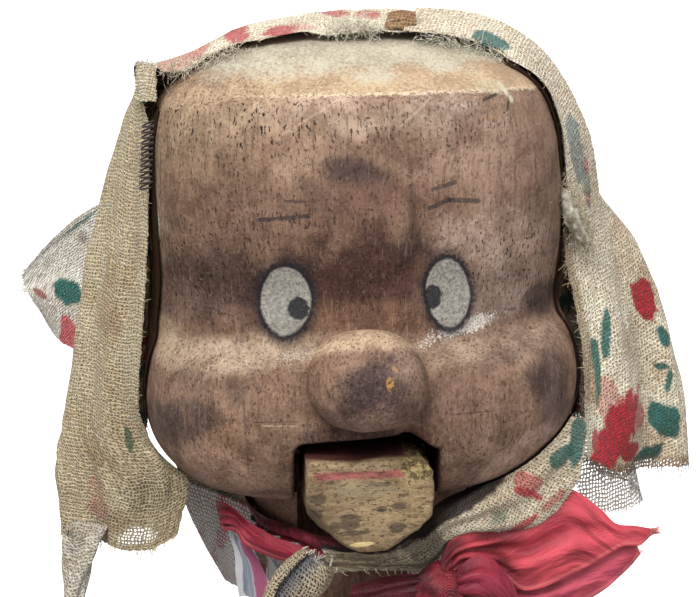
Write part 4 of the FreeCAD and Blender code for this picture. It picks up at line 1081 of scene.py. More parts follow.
def strewn(draw, line, count):
    """Random places along a line of points, and the number of the point before each."""
    place = draw.uniform(0, len(line) - 1.001, count)
    low = place.astype(int)
    part = (place - low)[:, None]
    return line[low] * (1 - part) + line[low + 1] * part, low


def fringe(name, grid, edge, count, length, tint, seed, width=0.3, curl=0.35):
    """Frayed threads along one edge of a grid: u0, u1, v0 or v1."""
    rim, inner = {
        "u0": (grid[:, 0], grid[:, 2]), "u1": (grid[:, -1], grid[:, -3]),
        "v0": (grid[0], grid[2]), "v1": (grid[-1], grid[-3]),
    }[edge]
    roots, low = strewn(np.random.default_rng(seed), rim, count)
    ways = rim[low] - inner[low]
    roots = roots - 1.2 * unit(ways)
    return fibres(name, roots, ways, length, width, seed, curl, tint)


# The scarf over the crown with both its sides, as rows from the left foot over the head to the right
# foot. Each row runs from the front edge to the back.
WRAP_SIZE = (520, 170)
WRAP = [
    [(-50, -15, 36), (-60, -14, 30.5), (-70, -11, 33), (-82, -4, 34), (-77, 12, 38), (-60, 29, 44)],
    [(-46.5, -17, 54.5), (-58, -17, 52), (-71, -12, 52), (-82, -2, 52), (-76, 15, 53), (-59, 30, 55)],
    [(-57.8, -22, 70), (-63, -18, 69), (-71.5, -11, 70), (-79, 0, 70), (-71.5, 18, 71), (-58, 31, 72)],
    [(-57, -25, 90), (-63, -18, 90), (-70, -9, 90), (-75.5, 1, 90), (-68.5, 19, 90), (-56, 32, 90)],
    [(-54.8, -26, 110), (-60.5, -18, 110), (-67, -8, 110), (-71.5, 2, 110), (-65.5, 20, 110), (-54, 32.5, 110)],
    [(-53.4, -26, 130), (-58, -17, 130), (-63, -7, 130), (-66, 3, 130), (-62, 20, 130), (-52, 33, 130)],
    [(-52.4, -25.5, 146), (-56.5, -17, 147), (-59.5, -6, 148), (-60.5, 6, 148), (-58, 22, 146), (-49, 34, 144)],
    [(-56, -24.5, 163.5), (-55, -16, 161.5), (-54, -6, 160), (-53, 8, 159.5), (-51, 24, 156), (-44, 37, 149)],
    [(-45, -24, 161), (-44.5, -14, 163.5), (-44, -3, 164.6), (-43, 11, 164), (-41, 28, 160), (-35, 41.5, 149)],
    [(-27, -24.5, 168), (-26, -14, 171.2), (-25, -3, 172.6), (-24, 12, 171.8), (-23, 30, 167),
     (-21, 44.5, 152)],
    [(-2, -25, 169.3), (-1, -14, 173.4), (0, -3, 175.4), (0, 12, 174.4), (0, 30, 170), (0, 46.5, 154)],
    [(18, -25, 169.3), (19, -14, 173.4), (20, -3, 174.9), (20, 12, 173.6), (20, 30, 168.5), (19, 45, 153)],
    [(34, -24.5, 166.4), (35, -13, 169.8), (36.5, -2, 170.8), (38, 11, 169.7), (37, 28, 163), (32, 42, 151)],
    [(45, -24, 157.8), (49.5, -11, 160.5), (52, -1, 160.8), (52, 11, 159.5), (49, 26, 155.5), (42, 38, 149)],
    [(52, -23.5, 143), (57.5, -12, 144), (61, -1, 144.5), (61, 11, 144), (57, 25, 143), (48.5, 35, 141)],
    [(54, -23, 128), (60.5, -13, 128.5), (66, -2, 129), (66.5, 10, 128), (61, 24, 127), (52, 33.5, 126)],
    [(54.3, -23, 112), (61.5, -17, 112), (72, -7, 112), (78.5, 3, 112), (70, 20, 111), (54, 33, 110)],
    [(56.5, -25.5, 97), (65, -19.5, 97), (75.5, -9, 97), (84.3, 2, 97), (76, 19, 97), (56, 33, 97)],
    [(58, -28, 83), (68, -21.5, 82), (79.5, -10, 82), (88.3, 0, 82), (81, 18, 82), (59, 33, 82)],
    [(58, -31.5, 67), (69.5, -23.5, 65), (82, -12, 65), (91, -2, 66), (84, 16, 67), (61, 32, 69)],
    [(58, -33, 57.5), (67.5, -25, 50.8), (80, -15, 48.3), (92.6, -4, 46.6), (86, 14, 50), (63, 31, 54)],
]
# The scarf's print: each motif is a place, three radii, a turn in degrees, a tint and a strength. DEEP is a
# radius along Y that goes right through the cloth.
DEEP = 60
WRAP_PRINT = [
    ((-43, -20, 166), (12, 3.4, DEEP), 35, PINK, 0.75),
    ((-29.6, -20, 170), (3.4, 2.4, DEEP), 20, RED, 0.85),
    ((-18.5, -20, 170.4), (4.6, 1.5, DEEP), 5, RED, 0.85),
    ((-14, -20, 171.4), (5, 1.0, DEEP), 0, PINK, 0.5),
    ((-3, -20, 174.6), (3, 1.0, DEEP), 0, RED, 0.8),
    ((5, -20, 174.2), (3, 1.2, DEEP), -4, RED, 0.75),
    ((-10.6, -14, 175.4), (7, 0.6, DEEP), 2, TEAL, 0.5),
    ((35.8, -18, 166.6), (5.2, 2.1, DEEP), -18, TEAL, 0.95),
    ((59.0, -18, 138), (2.0, 7.5, DEEP), 8, (140, 160, 160), 0.8),
    ((62, -12, 128), (1.4, 6, DEEP), 5, TEAL, 0.5),
    ((12.5, -20, 172), (4, 2.4, DEEP), 0, BROWN, 0.8),
    ((66.0, -15, 69.6), (3.4, 8.5, DEEP), 8, PINK, 0.55),
    ((80.3, -8, 94.7), (6.4, 3.5, DEEP), -68, RED, 1.0),
    ((66.0, -15, 88.3), (8.4, 1.35, DEEP), 86, TEAL, 0.95),
    ((62.3, -18, 79.0), (8.2, 1.9, DEEP), 91, TEAL, 0.95),
    ((68.2, -13, 61.2), (13.2, 5.4, DEEP), 60, RED, 1.0),
    ((72.4, -12, 55.4), (3.4, 2.9, DEEP), 0, (196, 30, 54), 1.0),
    ((60.5, -19, 53.0), (2.6, 2.0, DEEP), 40, RED, 0.9),
    ((61.5, -18, 60.8), (1.2, 3.2, DEEP), 0, (214, 80, 90), 0.9),
    ((76.2, -11, 64.0), (2.4, 4.2, DEEP), -10, (218, 112, 122), 0.8),
    ((85.6, -6, 83.7), (2.9, 1.8, DEEP), -60, TEAL, 1.0),
    ((84.8, -6, 75.9), (2.4, 1.0, DEEP), -10, TEAL, 0.95),
    ((86.6, -5, 71.7), (3.6, 1.2, DEEP), 78, TEAL, 0.95),
    ((85.2, -6, 60.8), (6.2, 4.4, DEEP), -40, TEAL, 1.0),
    ((77.0, -9, 51.6), (8.6, 2.5, DEEP), 20, (44, 104, 98), 1.0),
    ((70.6, -12, 50.0), (2.4, 1.2, DEEP), 10, TEAL, 0.8),
]
FALL_PRINT = [
    ((-62.2, -14, 63.2), (1.1, 3.4, 14), 8, (70, 112, 84), 0.85),
    ((-71.4, -14, 43.6), (3.0, 3.4, 14), 0, PINK, 0.4),
    ((-72.4, -14, 50.3), (2.4, 2.4, 14), 0, PINK, 0.3),
]
# Where light comes through the scarf's gaps, or they are wide and painted dark as the shade of the inside seen
# through them: a place in X and Z, radii and how much
WRAP_OPEN = [
    ((-62, 36), (8, 4), 0.85), ((-72, 57), (6, 8), 0.35), ((78, 84), (7, 12), 0.3),
    ((-57, 48), (10, 7.5), -1.0), ((-69, 40), (6, 5), -0.9),
]


def make_wrap():
    """The scarf's main sheet: the hood with the left fall and the right drape as one cloth."""
    grid = loft(WRAP, *WRAP_SIZE)
    along, across = grid_shares(grid)
    u, v = thread_lengths(grid)
    normal = grid_normals(grid)
    side = np.maximum(1 - smooth(along, 0.12, 0.36), smooth(along, 0.72, 0.92))
    waves = side * np.sin(across * 2 * PI * 3.3 + 2.5 * along + 0.8) * (0.3 + 0.7 * smooth(across, 0.05, 0.3))
    crown = smooth(along, 0.3, 0.42) * (1 - smooth(along, 0.62, 0.72))
    creases = noise(np.stack([u * 0.25, v * 0.05, 0 * u], -1) * 10, 10, 71, 3)
    lift = 1.5 * waves + 0.9 * creases * (0.5 + 0.5 * side) + 0.6 * crown * noise(grid, 9, 73)
    inner = smooth(across, 0.0, 0.06)
    grid = grid - normal * (lift * inner)[..., None]
    front = 1 - smooth(across, 0.0, 0.05)
    grid = grid + 0.8 * front[..., None] * noise(grid, 6, 79)[..., None] * np.array([0.3, 0.6, 1.0])
    grid = clear_of_head(grid, 1.0)
    colour = printed(grid, GROUND, WRAP_PRINT + FALL_PRINT)
    colour = over(colour, printed(grid, KHAKI, FALL_PRINT), 1 - smooth(along, 0.34, 0.42))
    rolled = smooth(along, 0.76, 0.8) * (1 - smooth(across, 0.07, 0.1)) * smooth(grid[..., 2], 66, 74)
    colour = over(colour, (206, 190, 160), rolled)
    hem = smooth(along, 0.988, 0.994) * smooth(across, 0.16, 0.22) * 0.8
    colour = over(colour, (150, 120, 84), hem)
    behind = smooth(grid[..., 1], 6, 14)
    colour = over(colour, sprigs(u, v, colour, 24, 5, RED, TEAL, 1.3, 0.9), behind)
    dirt = smooth(noise(grid, 14, 83), 0.2, 1.1) * 0.4
    colour = over(colour, colour * np.array(rgb(196, 160, 122)), dirt)
    light = 0.7 * hem
    for centre, radii, strength in WRAP_OPEN:
        reach = np.hypot((grid[..., 0] - centre[0]) / radii[0], (grid[..., 2] - centre[1]) / radii[1])
        light = light + strength * (1 - smooth(reach, 0.3, 1.2))
    light = np.clip(light, -1, 1)
    made = cloth(
        "scarf_wrap", grid, coarse_cloth, colour,
        replaces=["scarf_hood", "scarf_left_fall", "scarf_right_drape"], light=light,
    )
    fringe("scarf_wrap_fray_left", grid, "v0", 110, 5.5, KHAKI, 11)
    fringe("scarf_wrap_fray_right", grid, "v1", 130, 4.5, BROWN, 12)
    fringe("scarf_wrap_fray_front", grid, "u0", 300, 2.6, (168, 150, 118), 13, 0.25)
    return grid


def make_patch(
    name, rows, size, material, colour_of, folds, gap, replaces=(), fray=ALL_ENDS, light=0.0
):
    """A smaller sheet of the scarf over rows of control points."""
    grid = loft(rows, *size)
    along, across = grid_shares(grid)
    normal = grid_normals(grid)
    ripple = noise(np.stack([across * 5, along * 1.3, 0 * along], -1) * 10, 10, 91, 2)
    grid = grid + normal * (folds * ripple)[..., None]
    grid = clear_of_head(grid, gap)
    made = cloth(name, grid, material, colour_of(grid), fray, replaces, light=light)
    return grid


# The left half of each row of the scarf's back fall, up to its middle, and then the right half with it
BACK_FALL = [
    [(-30, 34, 160), (-16, 39, 162.5), (0, 40.5, 163.5)],
    [(-45, 30, 144), (-26, 43.5, 146), (0, 47.5, 147)],
    [(-51, 28, 110), (-32, 46, 111), (0, 51.5, 112)],
    [(-54, 30, 78), (-34, 50, 77), (0, 57, 77)],
    [(-52, 31, 45), (-31, 52, 42), (0, 59.5, 40)],
    [(-42, 38, 21), (-22, 53, 14), (0, 58.5, 11)],
    [(-27, 47, 2), (-10, 54, -7), (0, 56, -10)],
    [(-6, 53, -12), (-3, 54, -13), (0, 54, -13)],
]
BACK_FALL = [row + [(-x, y, z) for x, y, z in row[-2::-1]] for row in BACK_FALL]
UNDER_LAYER = [
    [(60, -16, 88), (67, -8, 88), (70, 3, 88), (68, 13, 88), (60, 22, 88)],
    [(59, -21, 64), (70, -13, 63), (76, -1, 63), (75, 10, 63), (66, 20, 64)],
    [(57, -23, 40), (69, -18, 37), (79.5, -8, 37), (79, 6, 38), (70, 17, 40)],
]
BACK_CORNER = [
    [(-58, 22, 127), (-60, 23, 112), (-61, 24, 95), (-60, 23, 80)],
    [(-72.5, 25, 122.5), (-73.5, 26, 110), (-75, 25.5, 95), (-75, 24.5, 79.5)],
    [(-82.5, 25, 115), (-84, 26, 107), (-85, 24, 96), (-83.5, 24, 83.5)],
    [(-93.2, 25, 104.3), (-93.4, 24.5, 101.5), (-92, 24.5, 98), (-89, 25, 93)],
]
EDGE_FOLD = [
    [(12, -26, 169.4), (14, -20, 172.8), (17.5, -12, 176)],
    [(30, -25.5, 166.4), (33, -19, 169.8), (36.8, -11, 173)],
    [(43.5, -25, 158.2), (48, -18, 161.6), (52.6, -10, 163)],
    [(52.5, -24, 143), (57.5, -17.5, 144), (63.4, -9, 145)],
    [(55.2, -23.5, 129), (60.5, -17.5, 129), (67.0, -9, 129.2)],
    [(55.8, -23.5, 112), (60.4, -18.5, 111.5), (67.4, -11, 112)],
]
LEFT_LIP = [
    [(-55.8, -25, 163.8), (-53, -25.8, 164.2), (-50.2, -25, 163)],
    [(-56.5, -24, 158.8), (-53.4, -26.4, 158.4), (-50, -25.5, 158)],
    [(-57.2, -22.5, 153), (-53.8, -26, 153.2), (-50.1, -25.5, 153)],
]
TOP_FOLD = [
    [(7.4, -22.5, 169.6), (8.0, -22, 172.2), (9.4, -20, 174.8)],
    [(12.4, -24.2, 169.8), (12.8, -23.4, 172.6), (13.4, -20, 175.3)],
    [(16.6, -23, 169.4), (17.2, -22, 172.0), (17.0, -20, 175.0)],
]


def gauze_colour(grid, tint=(250, 246, 238), sprigged=False):
    """A faded tint with some dirt, and with a scattered print where it is sprigged."""
    u, v = thread_lengths(grid)
    colour = one_tint(grid.shape[:2], tint)
    if sprigged:
        colour = sprigs(u, v, colour, 26, 9, RED, TEAL, 1.4, 0.6)
    return over(colour, KHAKI, smooth(noise(grid, 12, 101), 0.0, 1.0) * 0.4)


LEFT_GAUZE = [
    [(-52.4, 24, 42.5), (-45.2, 18, 41), (-37.5, 8, 40.5), (-30, 0, 39)],
    [(-48.8, 24, 31.4), (-43.6, 18, 31.5), (-37.4, 8, 32.3), (-30, 0, 32.1)],
    [(-44.4, 24, 20.5), (-40.8, 18, 21.1), (-36.6, 8, 23.1), (-31, 0, 24.6)],
    [(-38.6, 24, 9.5), (-36.8, 18, 10.2), (-34.7, 8, 12.6), (-32, 0, 14)],
]


def left_gauze_colour(grid):
    """Undyed mesh with crimson washed into some of its threads."""
    washed = smooth(noise(grid, (3, 30, 4), 207, 2), 0.0, 0.8) * 0.8
    return over(gauze_colour(grid, (232, 222, 218)), (196, 70, 92), washed)


def corner_colour(grid):
    motifs = [
        ((-80.6, 25, 97.8), (4.8, 3.6, 40), -28, TEAL, 1.0),
        ((-88.3, 25, 97.8), (2.6, 1.0, 40), -40, (176, 96, 96), 0.9),
        ((-80.5, 25, 85.5), (2.6, 5.4, 40), 14, (232, 110, 124), 0.95),
        ((-76, 25, 117.5), (8, 0.5, 40), 36, TEAL, 0.8),
        ((-75.5, 25, 113), (1.8, 1.8, 40), 0, BROWN, 0.5),
    ]
    return printed(grid, (253, 252, 246), motifs)


def fold_colour(grid):
    motifs = [
        ((36, -18, 166.6), (5.2, 2.3, 40), -18, TEAL, 0.95),
        ((59.0, -16, 138), (2.6, 8.5, 40), 8, (140, 160, 160), 0.8),
        ((62.5, -14, 127), (1.4, 6.0, 40), 5, (120, 150, 150), 0.7),
        ((62.4, -14, 133), (0.8, 2.4, 40), 0, RED, 0.6),
        ((62.8, -14, 124), (0.8, 2.0, 40), 0, RED, 0.5),
    ]
    return printed(grid, (252, 242, 220), motifs)


wrap_grid = make_wrap()
back_grid = make_patch(
    "scarf_back_point", BACK_FALL, (230, 170), coarse_cloth, lambda grid: gauze_colour(grid, GROUND, True),
    1.6, 0.9,
    ["scarf_back_fall"], ("u0", "u1", "v1"),
)
under_grid = make_patch(
    "scarf_lower_gauze", UNDER_LAYER, (80, 90), fine_gauze, gauze_colour,
    0.9, 0.6, ["scarf_under_layer"], light=1.0,
)
make_patch(
    "scarf_left_gauze", LEFT_GAUZE, (50, 60), pale_mesh, left_gauze_colour,
    0.3, 0.6,
)
corner_grid = make_patch(
    "scarf_corner", BACK_CORNER, (60, 60), corner_cloth, corner_colour,
    0.7, 0.6,
    ["scarf_back_corner"],
)
lip_grid = make_patch(
    "scarf_left_lip", LEFT_LIP, (40, 30), corner_cloth, lambda grid: gauze_colour(grid, (232, 222, 196)),
    0.3, 1.3,
)
make_patch(
    "scarf_top_fold", TOP_FOLD, (40, 30), coarse_cloth, lambda grid: gauze_colour(grid, (172, 132, 92)),
    0.4, 1.3,
)
fold_grid = make_patch(
    "scarf_front_fold", EDGE_FOLD, (150, 30), coarse_cloth, fold_colour,
    0.35, 1.2,
)
fringe("scarf_lip_fray", lip_grid, "v0", 60, 2.6, WHITE, 15, 0.22)
fringe("scarf_fold_fray", fold_grid, "v1", 60, 3.2, WHITE, 16, 0.22)
fringe("scarf_corner_fray", corner_grid, "v1", 40, 3.0, WHITE, 17)
fringe("scarf_gauze_fray", under_grid, "v1", 90, 3.5, WHITE, 18)
fringe("scarf_back_fray", back_grid, "v1", 40, 5.0, GROUND, 19)
fringe("scarf_back_left_fray", back_grid, "u0", 160, 3.0, WHITE, 20)


# The scarf's column that gives the dark strip of lining and painted gap shade its direction, and how far the
# strip goes on under the scarf
LINING_AND_SHADE_COLUMN = 26
LINING_AND_SHADE_HIDDEN = 3.4


def make_lining_and_gap_shade(name, start, end, low_width, high_width):
    """A dark strip that hugs the head just in front of the scarf's edge, wider high up than low down: the
    scarf's dark lining, and painted shade of the gap between scarf and head.
    """
    rows = np.arange(start, end)
    inner = wrap_grid[:, LINING_AND_SHADE_COLUMN]
    edge = np.stack([np.convolve(wrap_grid[:, 0, i], np.ones(9) / 9, "same") for i in range(3)], 1)
    way = unit(edge[rows] - inner[rows])
    edge = edge[rows]
    wide = low_width + (high_width - low_width) * smooth(edge[:, 2], 96, 118) + 0.3 * noise(edge, 9, 171)
    share = np.linspace(0, 1, 9)[None, :, None]
    grid = edge[:, None] + way[:, None] * (wide[:, None, None] * (1 - share) - LINING_AND_SHADE_HIDDEN * share)
    grid = clear_of_head(clear_of_head(grid, 0.4, True), 0.4, True)
    colour = one_tint(grid.shape[:2], (46, 33, 25))
    made = cloth(name, grid, lining_and_gap_shade_cloth, colour, ())


def scattered(path, spread, count, seed):
    """Places strewn round a path, and the ways their fibres start."""
    draw = np.random.default_rng(seed)
    middle, _ = strewn(draw, np.asarray(path, float), count)
    return middle + draw.normal(0, 1, (count, 3)) * spread, draw.normal(0, 1, (count, 3)) + [0, -0.6, 0]


def make_wadding_roll():
    """A short roll of wadding that has worked out at the right of the forehead."""
    axis = spline([(53.9, -25.5, 128), (55.4, -26, 122.5), (57.6, -25.5, 117), (60, -25, 112)], 60)
    turns = np.linspace(0, 2 * PI, 37)
    share = np.linspace(0, 1, 60)[:, None]
    radius = (0.5 + 1.5 * np.sin(share * PI) ** 0.6) * (1 + 0.15 * np.sin(3 * turns + 9 * share))
    grid = axis[:, None] + np.stack([radius * np.cos(turns), radius * np.sin(turns), 0 * radius], -1)
    grid = grid + 0.35 * noise(grid, 1.4, 201)[..., None] * np.array([1, 1, 0])
    colour = over((128, 118, 98), (214, 210, 196), smooth(noise(grid, (1.2, 1.2, 2.5), 203), -0.8, 0.8))
    made = cloth("wadding_roll", grid, loose_thread, colour, ())


def make_loops():
    """A dark glossy thread whipped over the edge at the left of the face."""
    count, radius = 12, 0.24
    turns = np.linspace(0, count * 2 * PI, 420)[:, None]
    share = turns / turns[-1]
    middle = np.array([-53.0, -29.0, 148.6]) * (1 - share) + np.array([-54.5, -29.0, 131.5]) * share
    line = middle + np.hstack([1.5 * np.cos(turns), 1.7 * np.sin(turns), 0.4 * np.cos(turns)])
    side = radius * unit(np.cross(np.gradient(line, axis=0), [0.0, 1.0, 0.0]))
    ring = [line + side, line + [0, -radius, 0], line - side, line + [0, radius, 0]]
    points = np.stack(ring, 1)
    layers = {"print": one_tint((points.size // 3,), (48, 36, 34))}
    faces = grid_faces(len(line), 4, True)
    piece("scarf_edge_loops", points.reshape(-1, 3), faces, loose_thread, paint=layers)


# Tufts of wadding: a name, the path they lie along, their spread, how many fibres, how long, and their tint
TUFTS = [
    ("right", [(53.6, -25, 128), (57.2, -24, 121), (61.6, -23.5, 112.5)], (1.3, 0.8, 1.5), 520, 3.6,
     (186, 174, 148)),
    ("top", [(-6, -23.5, 170.4), (0, -24, 171.8), (6.5, -23.5, 170.4)], (1.2, 0.8, 1.1), 420, 3.0,
     (232, 226, 206)),
    ("left", [(-48, -25, 161), (-40, -25.5, 163.4), (-28, -25.5, 166.6)], (1.5, 0.6, 1.0), 260, 3.2,
     (208, 198, 176)),
    ("crown", [(18, -25.5, 167.8), (28, -25.5, 165.8), (38, -25.5, 161.2)], (1.5, 0.6, 1.0), 240, 3.0,
     (210, 204, 186)),
]


def make_wadding():
    """Tufts of wadding that show under the scarf's front edge."""
    for seed, (name, path, spread, count, length, tint) in enumerate(TUFTS):
        roots, ways = scattered(path, spread, count, 180 + seed)
        fibres("wadding_" + name, roots, ways, length, 0.24, 190 + seed, 0.6, tint)


make_lining_and_gap_shade("scarf_lining_and_gap_shade_left", 30, 172, 0.3, 2.0)
make_lining_and_gap_shade("scarf_lining_and_gap_shade_right", 322, 484, 1.0, 2.4)
make_loops()
make_wadding()
make_wadding_roll()


# Stations of the chin band from the drape down to the knot: points from behind its upper edge to its lower edge
CHIN_BAND = [
    [(57.5, -14, 73), (54.5, -31, 69), (57, -32, 68), (59.5, -30.5, 67.3)],
    [(53, -14, 63), (46.8, -35, 63.1), (51.1, -36.5, 60.4), (57.5, -33, 56.2)],
    [(46.5, -16, 56.5), (39.6, -37, 58.2), (46.1, -39, 54.6), (54.6, -35, 49.6)],
    [(37.5, -20, 51.5), (33, -38.5, 53.8), (38.6, -41, 48.2), (45.4, -37, 40.2)],
    [(29, -25, 49), (26.5, -39.5, 49.9), (29.8, -42, 45.2), (34.3, -39, 39.4)],
    [(19, -28, 45.5), (18.3, -39.5, 44.6), (20.6, -42, 42.4), (23, -39.5, 38.6)],
    [(10.6, -33.5, 39.6), (11, -38.5, 39.4), (14.4, -40.5, 36.7), (15.6, -39, 29.6)],
    [(4, -33.5, 36), (3.9, -38, 35.7), (5, -39.5, 34), (7.1, -38.5, 30.6)],
    [(-4.6, -33.5, 36), (-4.7, -38, 35.8), (-4.9, -39.5, 34.5), (-4.9, -38.5, 30.9)],
    [(-12.6, -33.5, 37.4), (-12.5, -38, 37.2), (-11.9, -40.5, 35.1), (-8.8, -38.5, 31.4)],
]


def band_colour(grid):
    motifs = [
        ((50.6, -34, 58.8), (4.4, 2.6, 12), 35, TEAL, 0.9),
        ((55.6, -33, 61.6), (2.6, 6.6, 12), -12, TEAL, 0.9),
        ((41.8, -36, 53.2), (4.4, 2.6, 12), -30, PINK, 0.85),
        ((41, -36, 50.4), (4.4, 1.3, 12), -25, RED, 0.9), ((39.8, -36, 41.8), (5.6, 1.5, 12), 30, RED, 0.85),
        ((48.6, -36, 47.6), (4.2, 1.3, 12), 36, RED, 0.6), ((33.6, -40, 44.6), (2.4, 1.6, 12), 10, TEAL, 0.5),
        ((13, -38, 39), (6.5, 5.5, 12), 0, (158, 150, 132), 0.9),
        ((-4, -38, 34), (12, 4, 12), 0, (190, 176, 144), 0.7),
    ]
    return printed(grid, (238, 228, 204), motifs)


def make_chin_band():
    grid = loft(CHIN_BAND, 190, 60)
    along, across = grid_shares(grid)
    normal = grid_normals(grid)
    out = smooth(across, 0.2, 0.45)
    pleats = np.sin(across * 2 * PI * (2.6 + 1.4 * along)) * 0.7 + 0.35 * noise(grid, 6, 111)
    grid = grid + normal * (pleats * smooth(along, 0.0, 0.2) * out)[..., None]
    grid = clear_of_head(grid, 0.8)
    colour = band_colour(grid)
    # Painted shade: the band's upper strip, tucked in under the head, is darkened to dark brown
    limit = 0.26 + 0.2 * smooth(along, 0.12, 0.5) * (1 - smooth(along, 0.62, 0.72))
    tucked_shade = 1 - smooth(across + 0.04 * noise(grid, 2, 113) - limit, 0.0, 0.07)
    colour = over(colour, (52, 38, 30), tucked_shade)
    made = cloth(
        "scarf_chin_wrap", grid, coarse_cloth, colour, ("u0", "u1"), ["scarf_chin_band"]
    )
    fringe("scarf_chin_fray", grid, "u1", 110, 2.2, GROUND, 23, 0.24)


ROLL_AXIS = [(-12.6, -42.5, 36.4), (-15.8, -43, 32.4), (-20, -42.5, 27.4), (-25, -41, 18.5), (-30, -38, 6)]
ROLL_TURNS, ROLL_START = 1.75, 2.3
TAIL_AXIS = [(-76, -13, 39), (-77.5, -16.5, 29), (-80, -20.5, 16), (-81.5, -22.5, 2), (-81, -23, -18.5)]


def make_chin_roll():
    """The scarf's end rolled into a loose tube that slants down to the left of the jaw."""
    axis = spline(ROLL_AXIS, 90)
    turns = np.linspace(0, ROLL_TURNS * 2 * PI, 120)
    along = unit(np.gradient(axis, axis=0))
    out = unit(np.cross(along, [0, 1, 0]))
    back = np.cross(along, out)
    share = np.linspace(0, 1, 90)[:, None]
    radius = (6.6 - 0.33 * turns[None]) * (0.82 + 0.42 * np.sin(share * PI) - 0.2 * share)
    radius = radius * (1 + 0.05 * np.sin(turns[None] * 5 + share * 9))
    sideways = out[:, None] * (radius * np.cos(turns + ROLL_START))[..., None]
    grid = axis[:, None] + sideways + back[:, None] * (0.78 * radius * np.sin(turns + ROLL_START))[..., None]
    grid = grid + 0.4 * noise(grid, 5, 121)[..., None] * out[:, None]
    inner = smooth(turns, 5.2, 6.4) * np.ones(grid.shape[:2])
    colour = over((214, 200, 170), (124, 128, 138), inner)
    made = cloth(
        "scarf_chin_roll", grid, coarse_cloth, colour, ("u0", "v0", "v1"), ["scarf_chin_knot"],
        light=0.6,
    )
    fringe("scarf_roll_fray", grid, "v0", 40, 2.0, GROUND, 25)


def make_twist():
    """The fall's end wrung into a tail."""
    axis = spline(TAIL_AXIS, 170)
    turns = np.linspace(0, 2 * PI, 61)
    share = np.linspace(0, 1, 170)[:, None]
    radius = profile(share, [(0, 5.4), (0.25, 3.6), (0.5, 2.5), (0.8, 3.0), (1, 3.6)])
    wrung = 0.2 * np.cos(3 * turns + 15 * share), 0.07 * np.cos(7 * turns - 9 * share)
    radius = radius * (1 + wrung[0] + wrung[1])
    out = np.array([1.0, 0.0, 0.0]) * (radius * np.cos(turns))[..., None]
    back = np.array([0.0, 1.0, 0.3]) * (0.7 * radius * np.sin(turns))[..., None]
    grid = axis[:, None] + out + back
    colour = gauze_colour(grid, (226, 222, 210))
    made = cloth("scarf_tail", grid, coarse_cloth, colour, ("v0", "v1"), ["scarf_twist"])
    fringe("scarf_tail_fray", grid, "v1", 60, 4.0, (220, 212, 192), 27)


make_chin_band()
make_chin_roll()
make_twist()


# ---------------------------------------------------------------- ribbon

# The deep crimson below is the salmon satin in painted shade, used for its folds
SALMON = (206, 74, 86)
SALMON_IN_SHADE = (104, 14, 28)
MAUVE = (150, 40, 62)
RIGHT_LOOP = [
    [(17.7, -43, 33.9), (17.8, -44.5, 33.2), (18.1, -45, 32.1), (18.6, -44.5, 30.7), (19.1, -43, 29)],
    [(21.4, -41, 39), (22.2, -43, 37.8), (23, -42.4, 36.3), (24, -43.4, 34.6), (25.1, -42, 32.7)],
    [(30.2, -38, 41.5), (31, -40.4, 38.8), (31.8, -39.6, 35.9), (32.7, -41.2, 32.8), (33.7, -40, 29.5)],
    [(41.1, -36.5, 45.4), (41, -38.6, 40.2), (40.9, -37.4, 34.9), (40.9, -39.4, 29.4), (41.1, -38.5, 23.7)],
    [(52.1, -34.5, 49.7), (52.7, -36.4, 44.4), (53.4, -35.6, 39), (54.2, -37, 33.3), (55.2, -36, 27.4)],
    [(60.9, -34.5, 44.2), (61.2, -35.8, 41.1), (61.6, -35.4, 37.9), (62.2, -36.2, 34.5), (62.8, -35.5, 31)],
    [(65.7, -34.5, 39.6), (66.1, -35.2, 38.2), (66.6, -35.2, 36.7), (67.1, -35.4, 35.1), (67.7, -35, 33.3)],
    [(71, -34, 38.4), (71.4, -34.4, 37.4), (71.7, -34.4, 36), (72, -34.4, 34.8), (72.2, -34, 33.2)],
    [(76.3, -34, 37.3), (76.1, -34, 37), (75.9, -34, 36.5), (75.7, -34, 36.1), (75.5, -34, 35.7)],
]
INNER_LOOP = [
    [(21.5, -43, 30.2), (21, -44.8, 28.6), (20.7, -44.8, 26.4), (20.6, -43, 23.5)],
    [(24.4, -43, 33.6), (23.5, -46.5, 30.8), (23.1, -46.7, 27), (23.1, -43.5, 22)],
    [(28.2, -42.5, 35.4), (27.3, -46.8, 31.8), (27, -47.3, 27), (27.2, -44, 20.8)],
    [(32.7, -42, 32.9), (31.9, -45.8, 29.7), (31.7, -46.3, 25.4), (32, -43.5, 19.9)],
    [(36.6, -41.5, 27.6), (36.2, -44, 25.6), (36.1, -44.5, 22.9), (36.3, -43, 19.5)],
    [(38.4, -41.5, 22.9), (38.3, -42.3, 21.9), (38.2, -42.5, 20.6), (38.3, -42, 19)],
]
RIGHT_TAIL = [
    [(25.6, -38, 27.6), (25.9, -38.9, 25.9), (26.4, -38.9, 23.8), (27.1, -38, 21.5)],
    [(39.9, -35, 28.1), (40.8, -36.3, 24.6), (42, -36.3, 20.7), (43.5, -35, 16.3)],
    [(55.1, -32.5, 31.5), (56.2, -33.8, 27.6), (57.5, -33.9, 23.4), (59, -33, 18.7)],
    [(65.2, -32, 34.2), (66.1, -32.9, 31.4), (67.2, -32.9, 28.3), (68.4, -32, 24.9)],
    [(71, -32.5, 35.7), (71.6, -32.9, 34.1), (72.2, -32.9, 32.3), (72.9, -32.5, 30.4)],
]
